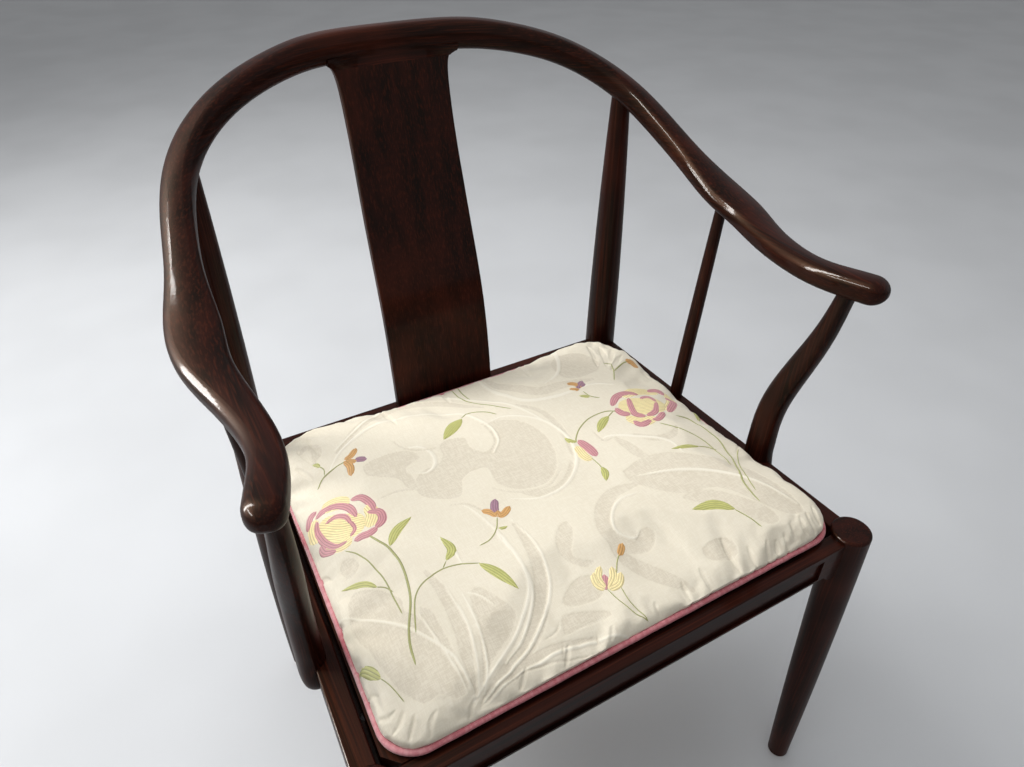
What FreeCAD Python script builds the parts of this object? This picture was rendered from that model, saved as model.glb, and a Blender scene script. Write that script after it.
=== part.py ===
import FreeCAD, Part
import math
import os
import Sketcher

# Horseshoe back armchair: a round-legged seat frame, a bent bow carried by two
# rear posts, a splat, two spindles and two curved arm posts, and a loose cushion.
# Frame: +Z up, the chair faces -Y, +X is to the right as seen from the front.
# Origin: on the floor, under the middle of the whole chair.
# Node names say left and right as seen from the front.

Vector = FreeCAD.Vector
DOC = FreeCAD.newDocument("armchair")
SHEET = DOC.addObject("Spreadsheet::Sheet", "Sizes")
NODES = {}
SIDES = (("left", -1), ("right", 1))
ROWS = ("front", "rear")
UP = Vector(0, 0, 1)
TOLERANCE = 0.001

# Driving sizes in millimetres: name, value, meaning.
SIZES = (
    ("seat_height", 415, "floor to the top of the rails"),
    ("row_middle_setback", 40.25, "origin behind the middle between the two leg rows"),
    ("leg_row_spacing", 416, "front leg centres to rear post centres, at the seat"),
    ("front_leg_spacing", 511, "between front leg centres, at the seat"),
    ("rear_leg_spacing", 477, "between rear post centres, at the seat"),
    ("front_splay_side", 8, "front foot outside its leg's place at the seat"),
    ("front_splay_forward", 15, "front foot ahead of its leg's place at the seat"),
    ("front_leg_top", 40, "front leg diameter at the seat"),
    ("front_leg_middle", 35, "front leg diameter at half height"),
    ("front_leg_foot", 25, "front leg diameter at the floor"),
    ("leg_proud", 5, "front leg top above the rails"),
    ("leg_dome", 3, "rounding of the front leg's top rim"),
    ("post_foot", 23, "rear post diameter at the floor"),
    ("post_seat", 38.5, "rear post diameter at the seat"),
    ("post_top", 19.5, "rear post diameter under the bow"),
    ("glide_thickness", 3, "foot glide thickness"),
    ("glide_margin", 2, "leg's rim beyond its glide"),
    ("nail_diameter", 3, "glide nail diameter"),
    ("nail_length", 16, "glide nail above the glide"),
    ("rail_thickness", 20, "side and rear rail thickness"),
    ("rail_depth", 40, "rail height"),
    ("front_rail_thickness", 18, "front rail thickness"),
    ("rear_rail_inset", 3.5, "rear rail centre ahead of the rear post centres"),
    ("arris_round", 1.5, "rounding of the rails' long edges"),
    ("panel_recess", 3, "depth of the front rail's sunk panel"),
    ("panel_band", 8, "plain band above the sunk panel"),
    ("panel_bead", 4, "bead below the sunk panel"),
    ("panel_end", 44, "from front leg centre to the sunk panel"),
    ("bracket_reach", 34, "from front leg centre to the end of the rail's bracket"),
    ("bracket_drop", 7, "bracket below the rail"),
    ("tenon_thickness", 8, "rail tenon thickness"),
    ("tenon_height", 14, "rail tenon height"),
    ("tenon_margin", 4, "rail tenon inside the rail's top or bottom edge"),
    ("bow_half_width", 269, "centre to the widest place of the bow's centre line"),
    ("bow_depth", 438.5, "back of the bow to the arm tips, along its centre line"),
    ("bow_overhang", 94, "bow's back behind the rear posts"),
    ("arm_rise", 240, "arm's centre line above the seat, at its lowest"),
    ("crest_rise", 151, "bow's back above the lowest place of the arm"),
    ("bow_width", 26, "bow thickness seen from above"),
    ("bow_height", 26, "bow height where the rear posts meet it"),
    ("crest_extra", 5, "extra bow height at the middle of the back"),
    ("pad_extra", 18, "extra bow width at the arm's broad place"),
    ("arm_thinning", 3, "arm's height less than the bow's"),
    ("finger_length", 20, "length of the bow's finger joints"),
    ("finger_count", 5, "fingers and gaps in a joint's height"),
    ("peg_diameter", 12, "round tenons under the bow"),
    ("peg_depth", 3, "round tenon's end above the bow's centre line"),
    ("splat_width", 127.5, "splat width at the seat"),
    ("splat_waist", 119, "splat width at its narrowest"),
    ("waist_drop", 70, "splat's narrowest place below its joint"),
    ("splat_thickness", 11, "splat thickness"),
    ("splat_sag", 10.8, "splat's deepest bend ahead of a straight line"),
    ("splat_top_setback", 12, "splat's board ahead of the bow's back, just above its joint"),
    ("crest_drop", 18.5, "from the bow's back down to the splat's joint"),
    ("shoulder_round", 11, "how far the hollow runs out beside the splat's waist"),
    ("shoulder_rise", 5, "the hollow's upper end above the splat's joint"),
    ("shoulder_blend", 12, "height over which the splat's face runs into the bow's"),
    ("shoulder_sink", 0.3, "shoulders behind the bow's front face"),
    ("crest_bend", 14, "bow's bend forwards at the hollows"),
    ("tongue_thickness", 5, "splat tongue thickness"),
    ("tongue_length", 7, "splat tongue length"),
    ("tongue_margin", 10, "splat tongue inside the splat's edges"),
    ("spindle_setback", 264, "spindle behind the front leg row"),
    ("spindle_outset", 2.5, "spindle's foot outside the rail's centre line"),
    ("spindle_foot", 15.5, "spindle diameter at the rail"),
    ("spindle_middle", 15, "spindle diameter below its middle"),
    ("spindle_top", 11.5, "spindle diameter under the arm"),
    ("spindle_peg", 7, "spindle's round tenon diameter"),
    ("spindle_peg_length", 14, "spindle's round tenon in the rail"),
    ("arm_post_setback", 132.5, "arm post's foot behind the front leg row"),
    ("arm_post_reach", 45.5, "arm post's top ahead of its foot"),
    ("arm_post_drop", 32, "arm post's foot below the top of the rail"),
    ("arm_post_foot_length", 35, "arm post's foot, front to back"),
    ("arm_post_foot_width", 26, "arm post's foot, side to side"),
    ("arm_post_top_width", 15, "arm post under the arm"),
    ("post_screw_count", 2, "screws in an arm post"),
    ("post_screw_diameter", 4, "arm post screw shank"),
    ("post_screw_head", 8, "arm post screw head"),
    ("post_screw_reach", 8, "arm post screw in the post"),
    ("post_screw_drop", 10, "upper arm post screw below the top of the rail"),
    ("post_screw_pitch", 12, "between an arm post's two screws"),
    ("seat_gap", 4.5, "between side rail and seat frame"),
    ("seat_joint", 0.5, "between front rail and seat frame"),
    ("seat_frame_width", 45, "seat frame member width"),
    ("seat_frame_thickness", 20, "seat frame member thickness"),
    ("seat_corner_cut", 13, "cut corner of the seat frame beside a leg"),
    ("seat_tenon", 20, "seat frame tenon length"),
    ("seat_tenon_edge", 11, "seat frame tenon inside its member's edges"),
    ("seat_tenon_thickness", 6.5, "seat frame tenon thickness"),
    ("rebate_width", 14, "rebate for the straps, width"),
    ("rebate_depth", 4, "rebate for the straps, depth"),
    ("strap_width", 50, "webbing strap width"),
    ("strap_thickness", 1.6, "webbing strap thickness"),
    ("strap_lengthwise_count", 5, "straps from front to rear"),
    ("strap_crosswise_count", 4, "straps from side to side"),
    ("strap_margin", 2, "strap's end inside its rebate"),
    ("ledge_width", 12, "ledge under the seat frame, width"),
    ("ledge_height", 15, "ledge under the seat frame, height"),
    ("ledge_gap", 3, "between ledge and corner blocks"),
    ("ledge_screw_count", 2, "screws in a ledge"),
    ("ledge_screw_reach", 9, "ledge screw in the rail"),
    ("block_reach", 62, "corner block along each rail"),
    ("block_thickness", 18, "corner block thickness"),
    ("block_corner_cut", 15, "corner block's cut beside the leg"),
    ("block_screw_diameter", 4, "corner block screw shank"),
    ("block_screw_head", 8, "corner block screw head"),
    ("block_screw_head_height", 3, "corner block screw head height"),
    ("block_screw_reach", 11, "corner block screw in the rail or seat frame"),
    ("block_screw_inset", 36, "corner block screw from the corner"),
    ("seat_screw_inset", 22, "seat frame screw from the rails' inner faces"),
    ("block_screw_cover", 12, "wood between screw head and rail"),
    ("cushion_side_gap_front", 15.5, "cushion inside the front leg centres"),
    ("cushion_side_gap_rear", 9.5, "cushion inside the rear post centres"),
    ("cushion_front_gap", 4, "cushion behind the front leg row"),
    ("cushion_rear_gap", 15, "cushion ahead of the rear post row"),
    ("cushion_shift", 2.5, "cushion lies off the middle, to the right"),
    ("cushion_round_front", 33, "cushion's front corner radius"),
    ("cushion_round_rear", 48, "cushion's rear corner radius"),
    ("cushion_crown", 40, "cushion height"),
    ("cushion_seam_height", 6, "piping's middle above the rails"),
    ("cushion_draw", 4, "cushion's sides drawn in between its corners"),
    ("cushion_rest_gap", 0.3, "air between cushion and seat frame"),
    ("cover_thickness", 1.2, "cushion cover thickness"),
    ("core_gap", 0.3, "air between core and cover"),
    ("piping_diameter", 6, "piping diameter"),
    ("piping_gap", 0.1, "air between piping and cover"),
    ("overrun", 5, "cutters past what they cut"),
)


def fill_sheet():
    """Write every driving size into the sheet under its own alias."""
    for row, (name, value, meaning) in enumerate(SIZES, start=1):
        SHEET.set("A%d" % row, name)
        SHEET.set("B%d" % row, str(value))
        SHEET.set("C%d" % row, meaning)
        SHEET.setAlias("B%d" % row, name)
    DOC.recompute()


fill_sheet()


def size(name):
    """A driving size as a number."""
    return float(getattr(SHEET, name))


def value_of(expression):
    """The number that an expression over the sheet gives."""
    result = SHEET.evalExpression(expression)
    return float(getattr(result, "Value", result))


# Expressions that several pieces share.

FRONT_ROW = "(-Sizes.row_middle_setback - Sizes.leg_row_spacing / 2)"
REAR_ROW = "(Sizes.leg_row_spacing / 2 - Sizes.row_middle_setback)"
FRONT_X = "Sizes.front_leg_spacing / 2"
REAR_X = "Sizes.rear_leg_spacing / 2"
SEAT = "Sizes.seat_height"
RAIL_BOTTOM = "Sizes.seat_height - Sizes.rail_depth"
FRONT_FACE = "(%s - Sizes.front_rail_thickness / 2)" % FRONT_ROW
FRONT_INNER = "(%s + Sizes.front_rail_thickness / 2)" % FRONT_ROW
REAR_RAIL = "(%s - Sizes.rear_rail_inset)" % REAR_ROW
REAR_INNER = "(%s - Sizes.rear_rail_inset - Sizes.rail_thickness / 2)" % REAR_ROW


def rail_x(y):
    """Centre line of a side rail at y, as an expression."""
    spread = "(Sizes.rear_leg_spacing - Sizes.front_leg_spacing) / 2"
    share = "((%s - %s) / Sizes.leg_row_spacing)" % (y, FRONT_ROW)
    return "(Sizes.front_leg_spacing / 2 + %s * %s)" % (spread, share)


def rail_inner_x(y):
    """Inner face of a side rail at y, as an expression."""
    return "(%s - Sizes.rail_thickness / 2)" % rail_x(y)


# Sketches, bodies and booleans.


def new_body(label):
    body = DOC.addObject("PartDesign::Body", label)
    body.Label = label
    return body


def new_sketch(body, role, height="0"):
    """A sketch on one of the body's own planes, raised by an expression."""
    plane = next(item for item in body.Origin.OriginFeatures if item.Role == role)
    sketch = body.newObject("Sketcher::SketchObject", body.Name + "_sketch")
    sketch.AttachmentSupport = [(plane, "")]
    sketch.MapMode = "FlatFace"
    sketch.setExpression("AttachmentOffset.Base.z", height)
    return sketch


def hold(sketch, kind, places, expression):
    """Add one dimension to a sketch and bind it to the sheet."""
    constraint = Sketcher.Constraint(kind, *places, value_of(expression))
    index = sketch.addConstraint(constraint)
    sketch.setExpression("Constraints[%d]" % index, expression)


def draw_outline(sketch, points):
    """A closed outline of straight lines through points given as expressions."""
    spots = [Vector(value_of(x), value_of(y), 0) for x, y in points]
    count = len(spots)
    for index in range(count):
        line = Part.LineSegment(spots[index], spots[(index + 1) % count])
        sketch.addGeometry(line, False)
    for index in range(count):
        sketch.addConstraint(Sketcher.Constraint("Coincident", index, 2, (index + 1) % count, 1))
    for index, (x, y) in enumerate(points):
        hold(sketch, "DistanceX", (-1, 1, index, 1), x)
        hold(sketch, "DistanceY", (-1, 1, index, 1), y)


def draw_circle(sketch, x, y, diameter):
    """A circle whose centre and diameter are given as expressions."""
    centre = Vector(value_of(x), value_of(y), 0)
    index = sketch.addGeometry(Part.Circle(centre, UP, value_of(diameter) / 2), False)
    hold(sketch, "DistanceX", (-1, 1, index, 3), x)
    hold(sketch, "DistanceY", (-1, 1, index, 3), y)
    hold(sketch, "Radius", (index,), "(%s) / 2" % diameter)


def pad(body, sketch, length, reverse=False):
    feature = body.newObject("PartDesign::Pad", body.Name + "_pad")
    feature.Profile = sketch
    feature.Reversed = reverse
    feature.setExpression("Length", length)
    body.Tip = feature
    return feature


def pocket(body, sketch, length, reverse=False):
    feature = body.newObject("PartDesign::Pocket", body.Name + "_pocket")
    feature.Profile = sketch
    feature.Reversed = reverse
    feature.setExpression("Length", length)
    body.Tip = feature
    return feature


def round_edges(body, wanted, radius):
    """Round the tip's edges that the test wanted picks out."""
    DOC.recompute()
    base = body.Tip
    names = ["Edge%d" % number for number, edge in enumerate(base.Shape.Edges, start=1) if wanted(edge)]
    feature = body.newObject("PartDesign::Fillet", body.Name + "_round")
    feature.Base = (base, names)
    feature.setExpression("Radius", radius)
    body.Tip = feature
    DOC.recompute()
    return feature


def plate(label, points, bottom, thickness):
    """A body padded upwards from a plan outline."""
    body = new_body(label)
    sketch = new_sketch(body, "XY_Plane", bottom)
    draw_outline(sketch, points)
    pad(body, sketch, thickness)
    return body


def solid(label, shape):
    """A free-form piece with a shape of its own."""
    feature = DOC.addObject("Part::Feature", label)
    feature.Label = label
    feature.Shape = shape
    return feature


def fuse(label, items):
    feature = DOC.addObject("Part::MultiFuse", label)
    feature.Label = label
    feature.Shapes = items
    return feature


def cut(label, base, tools):
    """Base less every tool, one after the other."""
    for tool in tools:
        feature = DOC.addObject("Part::Cut", label)
        feature.Label = label
        feature.Base = base
        feature.Tool = tool
        base = feature
    return base


def keep(node, feature):
    """Name a finished piece for export."""
    feature.Label = node
    NODES[node] = feature
    return feature


def keep_group(node, shapes):
    """Name a group of separate small pieces for export."""
    return keep(node, solid(node, Part.makeCompound(shapes)))


def mirror_image(label, source):
    """A piece's mirror image on the other side of the chair."""
    feature = DOC.addObject("Part::Mirroring", label)
    feature.Source = source
    feature.Normal = Vector(1, 0, 0)
    return feature


def cylinder(label, base, direction, diameter, length):
    """A round peg, bound to the sheet, from base along direction."""
    peg = DOC.addObject("Part::Cylinder", label)
    peg.setExpression("Radius", "(%s) / 2" % diameter)
    peg.Height = length
    peg.Placement = FreeCAD.Placement(base, FreeCAD.Rotation(UP, direction))
    return peg


# The bow's centre line and its sections. Each row is one place from the middle of
# the back to the arm's tip, as shares: sideways of the half width, forwards of the
# depth, upwards of the crest's rise, of the pad's extra width, of the crest's extra
# height and of the arm's thinning.

BOW_SHARES = (
    (0.000, 0.000, 1.000, 0.10, 1.00, 0.00),
    (0.260, 0.027, 1.007, 0.10, 0.90, 0.00),
    (0.442, 0.069, 0.980, 0.06, 0.50, 0.00),
    (0.621, 0.121, 0.901, 0.03, 0.20, 0.00),
    (0.773, 0.180, 0.768, 0.00, 0.05, 0.00),
    (0.877, 0.258, 0.609, 0.02, 0.00, 0.10),
    (0.933, 0.351, 0.437, 0.08, 0.00, 0.30),
    (0.967, 0.450, 0.272, 0.26, 0.00, 0.60),
    (0.993, 0.545, 0.139, 0.90, 0.00, 0.90),
    (1.000, 0.638, 0.060, 0.72, 0.00, 1.00),
    (0.970, 0.735, 0.013, 0.28, 0.00, 1.00),
    (0.944, 0.853, 0.000, 0.00, 0.00, 1.00),
    (0.962, 0.937, 0.006, 0.06, 0.00, 0.70),
    (0.996, 1.000, 0.013, 0.10, 0.00, 0.40),
)
TOP_RADIUS_SHARE = 1.25
SIDE_RADIUS_SHARE = 1.15
ROUND_LIMIT_SHARE = 0.95
BOW_ROUND_SHARES = (0.40, 0.27, 0.30, 0.40)
ARM_ROUND_SHARES = (0.40, 0.38, 0.34, 0.38)
KNOB_SHARES = (0.0, 0.30, 0.56, 0.76, 0.90, 0.975)
KNOB_REACH_SHARE = 0.56
SECTIONS_PER_STATION = 2


def bow_back_y():
    return value_of(REAR_ROW) + size("bow_overhang")


def arm_z():
    return size("seat_height") + size("arm_rise")


def crest_z():
    return arm_z() + size("crest_rise")


def bow_spot(row, side):
    """A station of the bow's centre line."""
    x = side * row[0] * size("bow_half_width")
    y = bow_back_y() - row[1] * size("bow_depth")
    return Vector(x, y, arm_z() + row[2] * size("crest_rise"))


def bow_girth(row):
    """Width, height and roundness change of the bow at a station, as a vector."""
    width = size("bow_width") + row[3] * size("pad_extra")
    height = size("bow_height") + row[4] * size("crest_extra") - row[5] * size("arm_thinning")
    return Vector(width, height, row[5])


def bow_rows():
    """Stations from the left tip round the back to the right tip."""
    rows = [(row, -1) for row in reversed(BOW_SHARES[1:])]
    return rows + [(row, 1) for row in BOW_SHARES]


def smooth_curve(spots, places):
    curve = Part.BSplineCurve()
    curve.interpolate(Points=spots, Parameters=places)
    return curve


BOW_PLACES = [float(index) for index in range(len(bow_rows()))]
BOW_CURVE = smooth_curve([bow_spot(row, side) for row, side in bow_rows()], BOW_PLACES)
BOW_GIRTH = smooth_curve([bow_girth(row) for row, side in bow_rows()], BOW_PLACES)
BOW_MIDDLE = float(len(BOW_SHARES) - 1)


def corner_centre(across, along, across_radius, along_radius, corner):
    """Centre of a corner arc that meets a flat arc above and one at the side."""
    low = across_radius - along
    back = along_radius - across
    reach_low = across_radius - corner
    reach_back = along_radius - corner
    gap = math.hypot(low, back)
    share = (reach_back ** 2 - reach_low ** 2 + gap ** 2) / (2 * gap)
    rise = math.sqrt(reach_back ** 2 - share ** 2)
    away_x, away_y = back / gap, -low / gap
    return (-back + share * away_x - rise * away_y, share * away_y + rise * away_x)


def oval_wire(centre, across_axis, up_axis, width, height, rounds):
    """A closed section of eight arcs that run smoothly into each other.

    rounds gives the four corner radii as shares of the height, from the outer
    top corner round by the inner top and inner bottom to the outer bottom.
    """
    half_width, half_height = width / 2, height / 2
    top_radius = TOP_RADIUS_SHARE * width
    side_radius = SIDE_RADIUS_SHARE * height
    turns = ((1, 1), (-1, 1), (-1, -1), (1, -1))
    corners = []
    for (sign_x, sign_y), share in zip(turns, rounds):
        radius = min(share * height, ROUND_LIMIT_SHARE * half_width)
        x, y = corner_centre(half_width, half_height, top_radius, side_radius, radius)
        low = Vector(0, half_height - top_radius, 0)
        back = Vector(half_width - side_radius, 0, 0)
        middle = Vector(x, y, 0)
        on_top = low + (middle - low).normalize() * top_radius
        on_side = back + (middle - back).normalize() * side_radius
        outward = (middle - low).normalize() + (middle - back).normalize()
        on_corner = middle + outward.normalize() * radius
        spots = [on_side, on_corner, on_top]
        if sign_x * sign_y < 0:
            spots.reverse()
        corners.append([Vector(sign_x * spot.x, sign_y * spot.y, 0) for spot in spots])
    flats = (Vector(0, half_height, 0), Vector(-half_width, 0, 0),
             Vector(0, -half_height, 0), Vector(half_width, 0, 0))

    def placed(spot):
        return centre + across_axis * spot.x + up_axis * spot.y

    edges = []
    for index, corner in enumerate(corners):
        following = corners[(index + 1) % len(corners)]
        edges.append(Part.Arc(*[placed(spot) for spot in corner]).toShape())
        edges.append(Part.Arc(placed(corner[2]), placed(flats[index]), placed(following[0])).toShape())
    return Part.Wire(edges)


def bow_frame(place):
    """Centre, direction, outward and upward axes of the bow at a place."""
    along = BOW_CURVE.tangent(place)[0]
    outward = UP.cross(along).normalize()
    return BOW_CURVE.value(place), along, outward, along.cross(outward)


def bow_rounds(blend):
    pairs = zip(BOW_ROUND_SHARES, ARM_ROUND_SHARES)
    return [back + (arm - back) * blend for back, arm in pairs]


def bow_section(place, scale=1, advance=0):
    centre, along, outward, upward = bow_frame(place)
    girth = BOW_GIRTH.value(place)
    return oval_wire(centre + along * advance, outward, upward,
                     girth.x * scale, girth.y * scale, bow_rounds(girth.z))


def knob(place, direction):
    """The rounded end of an arm: sections that shrink like a ball's."""
    reach = BOW_GIRTH.value(place).x * KNOB_REACH_SHARE
    wires = []
    for share in KNOB_SHARES:
        scale = math.sqrt(1 - share ** 2)
        wires.append(bow_section(place, scale, direction * reach * share))
    return Part.makeLoft(wires, True)


def bow_blank():
    """The whole bow in one piece, with a rounded knob at each tip."""
    steps = int(BOW_PLACES[-1]) * SECTIONS_PER_STATION
    wires = [bow_section(index / SECTIONS_PER_STATION) for index in range(steps + 1)]
    body = Part.makeLoft(wires, True)
    return body.fuse([knob(BOW_PLACES[0], -1), knob(BOW_PLACES[-1], 1)])


JOINT_STATION = 3.5
POST_STATION = 4.75


def joint_cutter(side):
    """All space beyond the bow's joint on one side, with the fingers taken in turn."""
    centre, along, outward, upward = bow_frame(BOW_MIDDLE + JOINT_STATION)
    girth = BOW_GIRTH.value(BOW_MIDDLE + JOINT_STATION)
    reach = size("bow_depth")
    long_box = Part.makeBox(2 * reach, 2 * reach, 2 * reach, Vector(0, -reach, -reach))
    count = int(size("finger_count"))
    pitch = girth.y / count
    boxes = [long_box]
    for index in range(0, count, 2):
        low = index * pitch - girth.y / 2
        high = low + pitch
        if index == 0:
            low -= size("overrun")
        if index == count - 1:
            high += size("overrun")
        corner = Vector(-size("finger_length"), -girth.x, low)
        boxes.append(Part.makeBox(size("finger_length") + size("overrun"), 2 * girth.x, high - low, corner))
    comb = boxes[0].fuse(boxes[1:])
    matrix = FreeCAD.Matrix(along.x, outward.x, upward.x, centre.x,
                            along.y, outward.y, upward.y, centre.y,
                            along.z, outward.z, upward.z, centre.z,
                            0, 0, 0, 1)
    comb.Placement = FreeCAD.Placement(matrix)
    if side < 0:
        comb = comb.mirror(Vector(0, 0, 0), Vector(1, 0, 0))
    return comb


def bow_place_at_y(y):
    """Place on the right arm whose centre line crosses y."""
    low, high = BOW_MIDDLE, BOW_PLACES[-1]
    while high - low > TOLERANCE ** 2:
        middle = (low + high) / 2
        if BOW_CURVE.value(middle).y > y:
            low = middle
        else:
            high = middle
    return low


# Members that lean are set out along a straight line in space.


def mirrored(spot, side):
    return Vector(side * spot.x, spot.y, spot.z)


def circle_wire(centre, diameter):
    return Part.Wire(Part.Circle(centre, UP, diameter / 2).toShape())


def turned_member(spots, diameters):
    """A round member through level circles."""
    return Part.makeLoft([circle_wire(spot, width) for spot, width in zip(spots, diameters)], True)


def at_height(low, high, z):
    return low + (high - low) * ((z - low.z) / (high.z - low.z))


def rear_post_line(side):
    """Where a rear post's axis passes the seat and meets the bow."""
    at_seat = Vector(value_of(REAR_X), value_of(REAR_ROW), size("seat_height"))
    at_bow = BOW_CURVE.value(BOW_MIDDLE + POST_STATION)
    return mirrored(at_seat, side), mirrored(at_bow, side)


def build_rear_post(name, side):
    at_seat, at_bow = rear_post_line(side)
    foot = at_height(at_seat, at_bow, size("glide_thickness"))
    spots = [foot, at_seat, at_bow]
    return solid("rear_post_%s_blank" % name,
                 turned_member(spots, [size("post_foot"), size("post_seat"), size("post_top")]))


def build_peg(name, low, high, diameter):
    """Round tenon from below the bow's underside to just past its centre line."""
    direction = (high - low).normalize()
    start = high - direction * size("bow_height")
    length = size("bow_height") + size("peg_depth")
    return cylinder(name, start, direction, diameter, length)


def leg_circle(body, side, height, diameter):
    """A level circle of a front leg's splayed outline."""
    sketch = new_sketch(body, "XY_Plane", height)
    lean = "(1 - %s / Sizes.seat_height)" % height
    x = "%d * (%s + Sizes.front_splay_side * %s)" % (side, FRONT_X, lean)
    y = "%s - Sizes.front_splay_forward * %s" % (FRONT_ROW, lean)
    draw_circle(sketch, x, y, diameter)
    return sketch


def build_front_leg(name, side):
    """A tapered round leg through three level circles, with a rounded top."""
    body = new_body("front_leg_%s_blank" % name)
    levels = (("Sizes.glide_thickness", "Sizes.front_leg_foot"),
              ("(Sizes.seat_height / 2)", "Sizes.front_leg_middle"),
              (SEAT, "Sizes.front_leg_top"))
    sketches = [leg_circle(body, side, height, diameter) for height, diameter in levels]
    DOC.recompute()
    loft = body.newObject("PartDesign::AdditiveLoft", body.Name + "_loft")
    loft.Profile = sketches[0]
    loft.Sections = sketches[1:]
    body.Tip = loft
    pad(body, leg_circle(body, side, SEAT, "Sizes.front_leg_top"), "Sizes.leg_proud")
    height = size("seat_height") + size("leg_proud")
    round_edges(body, lambda edge: edge.BoundBox.ZMin > height - TOLERANCE, "Sizes.leg_dome")
    return body


def build_glide(name, foot, diameter):
    """A round glide with its nail, standing on the floor."""
    disc = DOC.addObject("Part::Cylinder", name + "_disc")
    disc.setExpression("Radius", "(%s) / 2 - Sizes.glide_margin" % diameter)
    disc.setExpression("Height", "Sizes.glide_thickness")
    disc.Placement.Base = Vector(foot.x, foot.y, 0)
    nail = DOC.addObject("Part::Cylinder", name + "_nail")
    nail.setExpression("Radius", "Sizes.nail_diameter / 2")
    nail.setExpression("Height", "Sizes.glide_thickness + Sizes.nail_length")
    nail.Placement.Base = Vector(foot.x, foot.y, 0)
    return fuse(name, [disc, nail])


# Rails and their tenons.


def side_strip(label, side, thickness, bottom, height):
    """A straight strip between the leg centres of one side."""
    points = []
    for x, y, sign in ((FRONT_X, FRONT_ROW, -1), (FRONT_X, FRONT_ROW, 1),
                       (REAR_X, REAR_ROW, 1), (REAR_X, REAR_ROW, -1)):
        points.append(("%d * (%s + %d * %s / 2)" % (side, x, sign, thickness), y))
    return plate(label, points, bottom, height)


def cross_strip(label, y, half_length, thickness, bottom, height):
    """A straight strip from side to side, centred on y."""
    points = []
    for sign_x, sign_y in ((-1, -1), (1, -1), (1, 1), (-1, 1)):
        points.append(("%d * %s" % (sign_x, half_length), "%s + %d * %s / 2" % (y, sign_y, thickness)))
    return plate(label, points, bottom, height)


LONG_EDGE_SHARE = 0.9


def is_long(edge):
    return edge.Length > LONG_EDGE_SHARE * size("leg_row_spacing")


UPPER_TENON = "Sizes.seat_height - Sizes.tenon_margin - Sizes.tenon_height"
LOWER_TENON = "Sizes.seat_height - Sizes.rail_depth + Sizes.tenon_margin"


def build_side_rail(name, side):
    label = "side_rail_%s" % name
    body = side_strip(label + "_blank", side, "Sizes.rail_thickness", RAIL_BOTTOM, "Sizes.rail_depth")
    round_edges(body, is_long, "Sizes.arris_round")
    tenon = side_strip(label + "_tenon", side, "Sizes.tenon_thickness", UPPER_TENON, "Sizes.tenon_height")
    return body, tenon


def build_rear_rail():
    body = cross_strip("rear_rail_blank", REAR_RAIL, REAR_X, "Sizes.rail_thickness",
                       RAIL_BOTTOM, "Sizes.rail_depth")
    round_edges(body, is_long, "Sizes.arris_round")
    tenon = cross_strip("rear_rail_tenon", REAR_RAIL, REAR_X, "Sizes.tenon_thickness",
                        LOWER_TENON, "Sizes.tenon_height")
    return body, tenon


def build_front_rail():
    """Front rail with lower brackets at its ends and a sunk panel in its face."""
    body = new_body("front_rail_blank")
    face = "-1 * %s" % FRONT_FACE
    sketch = new_sketch(body, "XZ_Plane", face)
    inner = "(%s - Sizes.bracket_reach)" % FRONT_X
    slant = "(%s - Sizes.bracket_reach + Sizes.bracket_drop)" % FRONT_X
    low = "%s - Sizes.bracket_drop" % RAIL_BOTTOM
    draw_outline(sketch, [("-1 * " + FRONT_X, SEAT), ("-1 * " + FRONT_X, low), ("-1 * " + slant, low),
                          ("-1 * " + inner, RAIL_BOTTOM), (inner, RAIL_BOTTOM), (slant, low),
                          (FRONT_X, low), (FRONT_X, SEAT)])
    pad(body, sketch, "Sizes.front_rail_thickness", reverse=True)
    round_edges(body, is_long, "Sizes.arris_round")
    panel = new_sketch(body, "XZ_Plane", face)
    end = "(%s - Sizes.panel_end)" % FRONT_X
    high = "Sizes.seat_height - Sizes.panel_band"
    floor = "%s + Sizes.panel_bead" % RAIL_BOTTOM
    draw_outline(panel, [("-1 * " + end, high), ("-1 * " + end, floor), (end, floor), (end, high)])
    DOC.recompute()
    before = body.Shape.Volume
    pocket(body, panel, "Sizes.panel_recess")
    DOC.recompute()
    if body.Shape.Volume >= before:
        raise RuntimeError("the front rail's panel is not sunk")
    tenon = cross_strip("front_rail_tenon", FRONT_ROW, FRONT_X, "Sizes.tenon_thickness",
                        LOWER_TENON, "Sizes.tenon_height")
    return body, tenon


# The splat is a bent board. Its face runs on into the crest's shoulders and the bow.

SPLAT_ROUND_SHARE = 0.22
SHOULDER_STEPS = 4

# Its side view: shares of its height, and of its deepest bend forwards.

SPLAT_BEND_SHARES = ((0.0, 0.0), (0.13, 0.6), (0.31, 1.0), (0.54, 0.52), (0.76, 0.12), (1.0, 0.0))

# Its front view: up from the seat to its waist, as shares of that height and of the width
# lost there, and from the waist up the hollow, as shares of its height and of its reach.

TAPER_SHARES = ((0.0, 0.0), (0.27, 0.03), (0.55, 0.29), (0.80, 0.67), (1.0, 1.0))
HOLLOW_SHARES = ((0.45, 0.02), (0.70, 0.09), (0.84, 0.22), (0.91, 0.38), (0.965, 0.65), (1.0, 1.0))


def joint_z():
    return crest_z() - size("crest_drop")


def bent_line(spots):
    curve = Part.BSplineCurve()
    curve.interpolate(spots)
    return curve.toShape()


def splat_foot_z():
    return size("seat_height") - size("overrun")


def splat_line(offset):
    """The splat's line seen from the side, from below the seat up, moved by offset to the rear."""
    base = Vector(0, value_of(REAR_RAIL), splat_foot_z())
    top = Vector(0, bow_back_y() - size("splat_top_setback"), joint_z() + size("overrun"))
    along = (top - base).normalize()
    rear = Vector(0, along.z, -along.y)
    return [base + (top - base) * height + rear * (offset - size("splat_sag") * bend)
            for height, bend in SPLAT_BEND_SHARES]


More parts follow.
